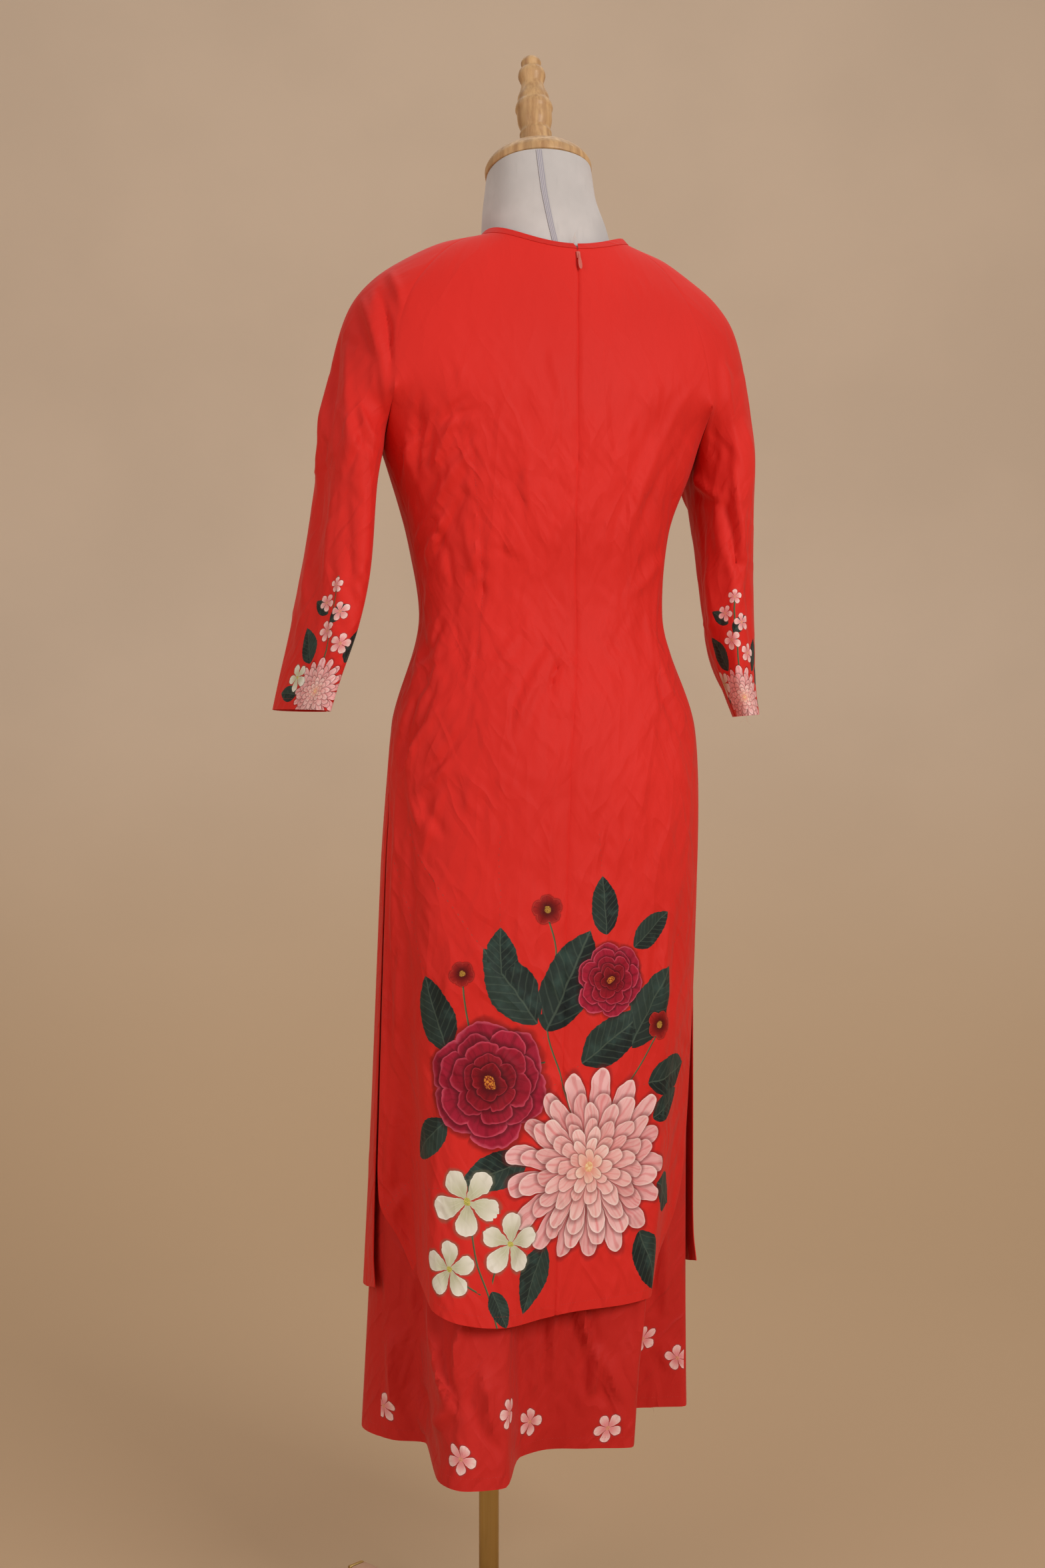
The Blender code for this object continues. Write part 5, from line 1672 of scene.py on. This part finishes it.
def select_faces(obj, test):
    """Selects, in edit mode, the faces that pass a test on their middle and normal."""
    bpy.ops.object.mode_set(mode="OBJECT")
    for vertex in obj.data.vertices:
        vertex.select = False
    for edge in obj.data.edges:
        edge.select = False
    for face in obj.data.polygons:
        face.select = test(face.center, face.normal)
    bpy.ops.object.mode_set(mode="EDIT")
    bpy.ops.mesh.select_mode(type="FACE")


def bar(name, start, end, width, height, ease, end_share=1.0):
    """A bar along +Y on the floor, tapering to its far end, with eased edges."""
    deselect()
    bpy.ops.mesh.primitive_cube_add(size=1, location=(0, (start + end) / 2, height / 2))
    obj = bpy.context.object
    obj.name = obj.data.name = name
    obj.scale = (width, end - start, height)
    bpy.ops.object.transform_apply(location=True, rotation=True, scale=True)
    select_faces(obj, lambda middle, normal: normal.y > 0.9)
    bpy.ops.transform.resize(value=(end_share, 1, 1))
    bpy.ops.mesh.select_all(action="SELECT")
    bpy.ops.mesh.bevel(offset=ease, segments=3, affect="EDGES")
    bpy.ops.object.mode_set(mode="OBJECT")
    bpy.ops.object.shade_smooth_by_angle(angle=math.radians(40))
    return obj


legs, shoes = [], []
for number in range(3):
    leg_end = LEG_LENGTH - SHOE_LENGTH
    leg_name = f"wooden_leg_{number + 1}"
    leg = bar(leg_name, HUB_RADIUS + SEAM_GAP, leg_end, LEG_WIDTH, LEG_HEIGHT, 0.0022, 0.93)
    shoe_name = f"leg_shoe_{number + 1}"
    shoe = bar(shoe_name, leg_end, LEG_LENGTH, LEG_WIDTH * 0.93, LEG_HEIGHT, 0.0018)
    for obj, finish in ((leg, leg_wood), (shoe, brushed_brass)):
        settle(obj, pole_foot, turn=-(LEG_TURN + 120 * number))
        obj.data.materials.append(finish)
    legs.append(leg)
    shoes.append(shoe)
print("legs reach", round(max(v.co.y for leg in shoes for v in leg.data.vertices), 3), "behind the middle")

# %% [markdown]
# ## Zip slider and pull
# An invisible zip hides its teeth, so only the slider shows at the top, with a drop-shaped pull that
# hangs from its bridge. Both are enamelled near the cloth's colour. The slider is a beveled plate with
# a bridge drawn up from its face; the pull is a disc that is pulled long, hollowed and thickened.

# %% Zip
SLIDER_WIDTH = 0.0042
SLIDER_HEIGHT = 0.0085
SLIDER_DEPTH = 0.0022
PULL_LENGTH = 0.0195
PULL_WIDTH = 0.0054
PULL_THICK = 0.0010
ZIP_PLACE = 0.035

zip_row = YOKE.at(np.array(ZIP_PLACE))
zip_seat = ring_point(zip_row, zip_row.cb)
zip_below = YOKE.at(np.array(3 * ZIP_PLACE))
zip_fall = ring_point(zip_below, zip_below.cb) - zip_seat
zip_slope = math.atan2(zip_fall[1], -zip_fall[2])
zip_out = np.array([0, math.cos(zip_slope), math.sin(zip_slope)])
zip_seat = zip_seat + BASE_MIDDLE + zip_out * (SOLID_WALL / 2 + 2 * SEAM_GAP)

deselect()
bpy.ops.mesh.primitive_cube_add(size=1, location=(0, SLIDER_DEPTH * 0.3, 0))
slider = bpy.context.object
slider.name = slider.data.name = "zip_slider_body"
slider.scale = (SLIDER_WIDTH, SLIDER_DEPTH * 0.6, SLIDER_HEIGHT)
bpy.ops.object.transform_apply(location=True, rotation=True, scale=True)
select_faces(slider, lambda middle, normal: normal.y > 0.9)
bpy.ops.mesh.inset(thickness=0.0012)
bpy.ops.mesh.extrude_region_move(TRANSFORM_OT_translate={"value": (0, SLIDER_DEPTH * 0.4, 0)})
bpy.ops.transform.resize(value=(0.7, 1, 0.8))
bpy.ops.mesh.select_all(action="SELECT")
bpy.ops.mesh.bevel(offset=0.00035, segments=3, affect="EDGES")
bpy.ops.object.mode_set(mode="OBJECT")
bpy.ops.object.shade_smooth_by_angle(angle=math.radians(50))
settle(slider, zip_seat, math.degrees(zip_slope))

deselect()
upright = (math.radians(-90), 0, 0)
bpy.ops.mesh.primitive_circle_add(vertices=36, radius=0.5, fill_type="NGON", rotation=upright)
pull = bpy.context.object
pull.name = pull.data.name = "zip_pull_drop"
bpy.ops.object.transform_apply(location=True, rotation=True, scale=True)
for vertex in pull.data.vertices:
    share = 0.5 - vertex.co.z
    vertex.co.x *= PULL_WIDTH * (0.36 + 0.64 * share**0.8)
    vertex.co.z = -share * PULL_LENGTH
bpy.ops.object.mode_set(mode="EDIT")
bpy.ops.mesh.select_all(action="SELECT")
bpy.ops.mesh.inset(thickness=0.0007)
bpy.ops.transform.translate(value=(0, -PULL_THICK * 0.35, 0))
bpy.ops.object.mode_set(mode="OBJECT")
pull_wall = pull.modifiers.new("wall", "SOLIDIFY")
pull_wall.thickness = PULL_THICK * 0.6
pull_wall.offset = 0
bpy.ops.object.modifier_apply(modifier="wall")
pull_edge = pull.modifiers.new("edge", "BEVEL")
pull_edge.width = 0.00012
pull_edge.segments = 2
bpy.ops.object.modifier_apply(modifier="edge")
bpy.ops.object.shade_smooth_by_angle(angle=math.radians(50))
settle(pull, zip_seat + zip_out * (SLIDER_DEPTH + SEAM_GAP + PULL_THICK / 2), math.degrees(zip_slope))

enamel = Finish("zip_enamel", metallic=0.35, coat_weight=0.4)
x, y, z = enamel.split(enamel.node("TexCoord", output=3))
chipped = enamel.noise(enamel.join(x, y, z), 1500.0, 2.0)
enamel_tone = enamel.mix(chipped.step(0.6, 0.75) * 0.5, (0.72, 0.16, 0.13), (0.80, 0.52, 0.42))
zip_enamel = enamel.done(enamel_tone, 0.3 + 0.15 * chipped)
slider.data.materials.append(zip_enamel)
pull.data.materials.append(zip_enamel)
print("zip pull", round(PULL_LENGTH * 1000, 1), "mm long")

# %% [markdown]
# ## Sewing
# Hems are turned up and stitched by machine, about nine stitches to the inch. Each stitch is a tiny
# lens of thread that lies on the cloth, and all the stitches of one garment are joined in one mesh.
# A line of sewing is read off a sheet's own grid, so it follows every crease.

# %% Stitches
STITCH_PITCH = 0.0030
STITCH_LENGTH = 0.0021
STITCH_WIDTH = 0.00042
HEM_DEPTH = 0.012
EDGE_DEPTH = 0.006


def on_grid(grid, rows, columns):
    """Points and outward directions at fractional rows and columns of a grid."""
    normals = outward_normals(grid)
    rows = np.clip(rows, 0, grid.shape[0] - 1.001)
    columns = np.clip(columns, 0, grid.shape[1] - 1.001)
    r, c = rows.astype(int), columns.astype(int)
    a, b = (rows - r)[:, None], (columns - c)[:, None]
    found = []
    for field in (grid, normals):
        upper = field[r, c] * (1 - b) + field[r, c + 1] * b
        lower = field[r + 1, c] * (1 - b) + field[r + 1, c + 1] * b
        found.append(upper * (1 - a) + lower * a)
    return found[0] + BASE_MIDDLE, unit(found[1])


def hem_line(grid, depth=HEM_DEPTH):
    """A line that runs across a grid at some depth from its last row."""
    columns = np.linspace(0.5, grid.shape[1] - 1.5, 4 * grid.shape[1])
    row_size = np.linalg.norm(grid[-1] - grid[-4], axis=1).mean() / 3
    return on_grid(grid, np.full_like(columns, grid.shape[0] - 1 - depth / row_size), columns)


def edge_line(grid, last, top, foot, depth=EDGE_DEPTH):
    """A line that runs down a grid at some depth from its first or last column, between two heights."""
    heights = grid[:, -1 if last else 0, 2]
    rows = np.interp([-top, -foot], -heights, np.arange(len(heights)))
    rows = np.linspace(rows[0], rows[1], 6 * int(rows[1] - rows[0]))
    run = run_along(grid)
    at_row = run[np.clip(rows.astype(int), 0, len(run) - 1)]
    targets = at_row[:, -1] - depth if last else np.full(len(rows), depth)
    columns = np.array([np.interp(t, row, np.arange(len(row))) for t, row in zip(targets, at_row)])
    columns = np.convolve(np.pad(columns, 9, mode="edge"), np.ones(19) / 19, mode="valid")
    return on_grid(grid, rows, columns)


def seen_line(name, points, view=BACK_VIEW):
    """A line given by points as seen from one side."""
    grid = grids[name]
    across, height, _ = seen_from(grid, *view)
    line = Rows("height across", [(z, x) for x, z in points])
    top, foot = points[0][1], points[-1][1]
    middle = height.shape[1] // 2
    rows = np.interp(-np.linspace(top, foot, 400), -height[:, middle], np.arange(len(height)))
    targets = line.at(height[rows.astype(int), middle]).across
    columns = np.arange(across.shape[1])
    order = 1 if across[0, 0] < across[0, -1] else -1
    found = [np.interp(t, across[r][::order], columns[::order]) for t, r in zip(targets, rows.astype(int))]
    smooth = np.convolve(np.pad(found, 12, mode="edge"), np.ones(25) / 25, mode="valid")
    return on_grid(grid, rows, smooth)


def stitches_on(line, stand, pitch=STITCH_PITCH, length=STITCH_LENGTH, width=STITCH_WIDTH):
    """The corners of lens-shaped stitches along a line, six for each stitch."""
    points, normals = line
    run = np.concatenate([[0], np.cumsum(np.linalg.norm(np.diff(points, axis=0), axis=1))])
    places = np.arange(pitch, run[-1] - pitch, pitch)
    middle = np.stack([np.interp(places, run, points[:, i]) for i in range(3)], axis=1)
    out = unit(np.stack([np.interp(places, run, normals[:, i]) for i in range(3)], axis=1))
    ahead = np.stack([np.interp(places + 0.0006, run, points[:, i]) for i in range(3)], axis=1)
    along = unit(ahead - middle)
    aside = np.cross(along, out)
    slant = along + 0.10 * aside
    middle = middle + out * stand
    ends = [middle - slant * length / 2 - out * width * 0.6, middle + slant * length / 2 - out * width * 0.6]
    sides = [
        middle - aside * width / 2,
        middle + out * width * 0.45,
        middle + aside * width / 2,
        middle - out * width * 0.5,
    ]
    return np.stack(ends + sides, axis=1)


def sewn(name, lines, stand=CLOTH_THICKNESS / 2 + 0.0001):
    """All the stitches of one garment as one mesh."""
    corners = np.concatenate([stitches_on(line, stand) for line in lines])
    faces = []
    for i in range(4):
        faces += [(0, 2 + i, 2 + (i + 1) % 4), (1, 2 + (i + 1) % 4, 2 + i)]
    faces = (np.array(faces)[None] + 6 * np.arange(len(corners))[:, None, None]).reshape(-1, 3)
    mesh = bpy.data.meshes.new(name)
    mesh.from_pydata(corners.reshape(-1, 3).tolist(), [], faces.tolist())
    obj = bpy.data.objects.new(name, mesh)
    bpy.context.scene.collection.objects.link(obj)
    make_active(obj)
    bpy.ops.object.mode_set(mode="EDIT")
    bpy.ops.mesh.select_all(action="SELECT")
    bpy.ops.mesh.normals_make_consistent(inside=False)
    bpy.ops.object.mode_set(mode="OBJECT")
    bpy.ops.object.shade_smooth()
    return obj


SLIT_STITCHED = (SLIT_TOP, TUNIC_HEM + 0.012)
HEMMED = ("back_left", "back_right", "front", "sleeve_left", "sleeve_right")
tunic_lines = [hem_line(grids[name]) for name in HEMMED]
tunic_lines += [
    edge_line(grids["back_left"], True, *SLIT_STITCHED),
    edge_line(grids["back_right"], False, *SLIT_STITCHED),
    edge_line(grids["front"], False, *SLIT_STITCHED),
    edge_line(grids["front"], True, *SLIT_STITCHED),
    seen_line("back_left", DARTS["back_left"]),
    seen_line("back_right", DARTS["back_right"]),
]
skirt_lines = [hem_line(grids[name]) for name in ("skirt_back", "skirt_front")]
tunic_stitches = sewn("tunic_stitches", tunic_lines)
skirt_stitches = sewn("skirt_stitches", skirt_lines)
band_columns = np.linspace(1, BAND_COLUMNS - 1, 900)
band_stand = BAND_THICKNESS / 2 + 0.0001
band_line = on_grid(band_grid, np.full_like(band_columns, 4.6), band_columns)
band_stitches = sewn("neck_stitches", [band_line], band_stand)
sewing = (tunic_stitches, skirt_stitches, band_stitches)
print("stitches:", sum(len(obj.data.vertices) // 6 for obj in sewing))

# %% [markdown]
# ## Loose threads
# A few raw ends stick out where the sewing was cut short: pale ones at the top of the zip, a little tuft
# at the right cuff and one at the skirt's hem. Each is a thin three-sided thread along a curve.

# %% Threads
THREAD_RADIUS = 0.00014


def thread(start, lean, length, curl, seed):
    """Points along one loose thread that leaves its start with a lean and curls."""
    draw = np.random.default_rng(seed)
    side = unit(np.cross(lean, draw.normal(size=3)))
    share = np.linspace(0, 1, 9)[:, None]
    return start + length * (share * unit(np.array(lean)) + curl * share**2 * side)


def loose_threads(name, curves):
    points, faces = [], []
    for curve in curves:
        along = unit(np.gradient(curve, axis=0))
        aside = unit(np.cross(along, [0.31, 0.52, 0.79]))
        up = np.cross(along, aside)
        first = len(points)
        for i, (p, a, u) in enumerate(zip(curve, aside, up)):
            radius = THREAD_RADIUS * (1 - 0.6 * i / (len(curve) - 1))
            for turn in (0, 120, 240):
                c, s = math.cos(math.radians(turn)), math.sin(math.radians(turn))
                points.append((p + radius * (c * a + s * u)).tolist())
        for i in range(len(curve) - 1):
            for k in range(3):
                a, b = first + 3 * i + k, first + 3 * i + (k + 1) % 3
                faces.append((a, b, b + 3, a + 3))
        last = first + 3 * (len(curve) - 1)
        faces += [(first + 2, first + 1, first), (last, last + 1, last + 2)]
    mesh = bpy.data.meshes.new(name)
    mesh.from_pydata(points, [], faces)
    obj = bpy.data.objects.new(name, mesh)
    bpy.context.scene.collection.objects.link(obj)
    make_active(obj)
    bpy.ops.object.mode_set(mode="EDIT")
    bpy.ops.mesh.select_all(action="SELECT")
    bpy.ops.mesh.normals_make_consistent(inside=False)
    bpy.ops.object.mode_set(mode="OBJECT")
    bpy.ops.object.shade_smooth()
    return obj


neck_ends = [band_grid[0, 0] + BASE_MIDDLE, band_grid[1, 0] + BASE_MIDDLE, band_grid[0, -1] + BASE_MIDDLE]
pale_curves = [
    thread(neck_ends[0], (0.3, 0.25, 1.0), 0.013, 0.5, 1),
    thread(neck_ends[1], (-0.5, 0.5, 0.8), 0.010, 0.6, 2),
    thread(neck_ends[0], (-0.4, 0.2, 1.0), 0.008, 0.4, 3),
    thread(neck_ends[2], (0.1, 0.3, 1.0), 0.009, 0.5, 4),
]
cuff = grids["sleeve_right"][-1] + BASE_MIDDLE
cuff_across = (grids["sleeve_right"][-1] @ PICTURE_RIGHT) - 4 * (grids["sleeve_right"][-1] @ TOWARDS_CAMERA)
above_lowest = np.abs(cuff[:, 2] - cuff[:, 2].min())
from_edge = 0.02 * np.abs(cuff_across - cuff_across.min())
cuff_corner = cuff[int(np.argmin(above_lowest + from_edge))]
pale_curves += [
    thread(cuff_corner, (0.1, 0.2, -1.0), 0.012, 0.5, 5),
    thread(cuff_corner, (-0.4, 0.2, -1.0), 0.009, 0.6, 6),
    thread(cuff_corner, (0.5, 0.1, -0.9), 0.014, 0.4, 7),
]
hem_corner = grids["skirt_back"][-1, 12] + BASE_MIDDLE
pale_curves += [thread(hem_corner, (0.2, 0.1, -1.0), 0.011, 0.6, 8)]
pale_threads = loose_threads("loose_threads", pale_curves)


def thread_finish(name, colour):
    made = Finish(name, roughness=0.6, sheen_weight=0.2)
    x, y, z = made.split(made.node("TexCoord", output=3))
    twist = made.noise(made.join(x, y, z), 2500.0, 1.0)
    return made.done(made.mix(twist, tuple(0.8 * part for part in colour), colour), 0.55 + 0.2 * twist)


red_thread = thread_finish("red_thread", (0.62, 0.030, 0.022))
pale_thread = thread_finish("pale_thread", (0.80, 0.55, 0.42))
for obj in (tunic_stitches, skirt_stitches, band_stitches):
    obj.data.materials.append(red_thread)
pale_threads.data.materials.append(pale_thread)
print("loose threads:", len(pale_curves))

# %% [markdown]
# ## Dressing
# Each new piece rides on the body that carries it and stands for its solid.

# %% Ride and replace
for name, obj in sheets.items():
    skirt_piece = name.startswith(("skirt", "waist"))
    obj.data.materials[0] = skirt_red if skirt_piece else tunic_red
    obj.data.materials[1] = skirt_print if skirt_piece else tunic_print
    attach(obj, BODY)
    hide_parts(name)

STANDS_FOR = [
    (form, "form_torso", "form_cover"),
    (neck_cap, "neck_cap", "honey_wood"),
    (finial, "finial", "honey_wood"),
    (pole, "pole", "brass"),
    (hub, "hub", "brass"),
    (legs[0], "leg_1", "leg_wood"),
    (legs[1], "leg_2", "leg_wood"),
    (legs[2], "leg_3", "leg_wood"),
    (slider, "zip_slider", "zip_metal"),
]
for obj, node, slot in STANDS_FOR:
    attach(obj, BODY)
    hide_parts(node)
extra = [(tape, "form_cover"), (skirt_stitches, "skirt_cloth")] + [(shoe, "brass") for shoe in shoes]
extra += [(obj, "tunic_cloth") for obj in (tunic_stitches, band_stitches, pale_threads)]
for obj, slot in extra:
    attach(obj, BODY)
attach(pull, PULL_BODY)
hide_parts("zip_pull")

# %% [markdown]
# ## A plain studio
# The room is one pale sweep, floor and wall in one curve all round, so no edge shows behind the
# outfit. Low down its colour carries a painted shade, darker and warmer towards the floor. A large
# soft light stands to the right of the camera and a weaker one to the left.

# %% Studio
SWEEP_RADIUS = 4.3
SWEEP_CURVE = 2.6
SWEEP_HEIGHT = 4.2
SWEEP_COLOUR = (0.530, 0.415, 0.315)

sweep_profile = [(0.02, 0.0), (1.0, 0.0)]
for step in range(13):
    turn = math.pi / 2 * step / 12
    reach = SWEEP_RADIUS - SWEEP_CURVE + SWEEP_CURVE * math.sin(turn)
    sweep_profile.append((reach, SWEEP_CURVE * (1 - math.cos(turn))))
sweep_profile.append((SWEEP_RADIUS, SWEEP_HEIGHT))
deselect()
bpy.ops.mesh.primitive_circle_add(vertices=128, radius=sweep_profile[0][0], fill_type="NGON")
sweep = bpy.context.object
sweep.name = "studio_sweep"
bpy.ops.object.mode_set(mode="EDIT")
bpy.ops.mesh.select_mode(type="EDGE")
bpy.ops.mesh.select_all(action="SELECT")
for (r0, h0), (r1, h1) in zip(sweep_profile, sweep_profile[1:]):
    bpy.ops.mesh.extrude_edges_move(TRANSFORM_OT_translate={"value": (0, 0, h1 - h0)})
    bpy.ops.transform.resize(value=(r1 / r0, r1 / r0, 1))
bpy.ops.object.mode_set(mode="OBJECT")
bpy.ops.object.shade_smooth_by_angle(angle=math.radians(40))
paint = Finish("pale_wall")
x, y, z = paint.split(paint.node("TexCoord", output=3))
mottled = paint.noise(paint.join(x, y, z), 1.6, 3.0)
wall_tone = paint.mix(mottled.step(0.3, 0.7), tuple(0.95 * part for part in SWEEP_COLOUR), SWEEP_COLOUR)
# Painted shade: the sweep is painted darker and warmer from 1.5 m down to the floor, where the light falls
# off.
painted_floor_shade = tuple(share * part for share, part in zip((0.85, 0.75, 0.60), SWEEP_COLOUR))
wall_tone = paint.mix(z.step(-0.2, 1.5), painted_floor_shade, wall_tone)
sweep.data.materials.append(paint.done(wall_tone, 0.9))


def soft_light(name, place, target, size, power, colour=(1.0, 0.97, 0.93)):
    data = bpy.data.lights.new(name, "AREA")
    data.size = size
    data.energy = power
    data.color = colour
    lamp = bpy.data.objects.new(name, data)
    lamp.location = place
    lamp.rotation_euler = (Vector(target) - Vector(place)).to_track_quat("-Z", "Y").to_euler()
    bpy.context.scene.collection.objects.link(lamp)


eye = BASE_MIDDLE + CAMERA_DISTANCE * TOWARDS_CAMERA
soft_light("key_light", eye + 1.7 * PICTURE_RIGHT + [0, 0, 2.0], (0, 0, 1.05), 1.2, 49)
soft_light("fill_light", eye - 1.9 * PICTURE_RIGHT + [0, 0, 1.6], (0, 0, 0.8), 2.2, 24)
wall_place = BASE_MIDDLE - 1.2 * TOWARDS_CAMERA + [0, 0, 3.6]
soft_light("wall_light", wall_place, BASE_MIDDLE - 4.3 * TOWARDS_CAMERA + [0, 0, 0.9], 2.4, 58)
soft_light("front_light", BASE_MIDDLE - 2.2 * TOWARDS_CAMERA + [0, 0, 3.4], (0, 0, 0.9), 1.6, 4)
world = bpy.data.worlds.new("studio_air")
world.use_nodes = True
world.node_tree.nodes["Background"].inputs["Color"].default_value = (1.0, 0.95, 0.88, 1)
world.node_tree.nodes["Background"].inputs["Strength"].default_value = 0.45
bpy.context.scene.world = world
bpy.context.scene.view_settings.view_transform = "Standard"
print("lights:", len(bpy.data.lights))
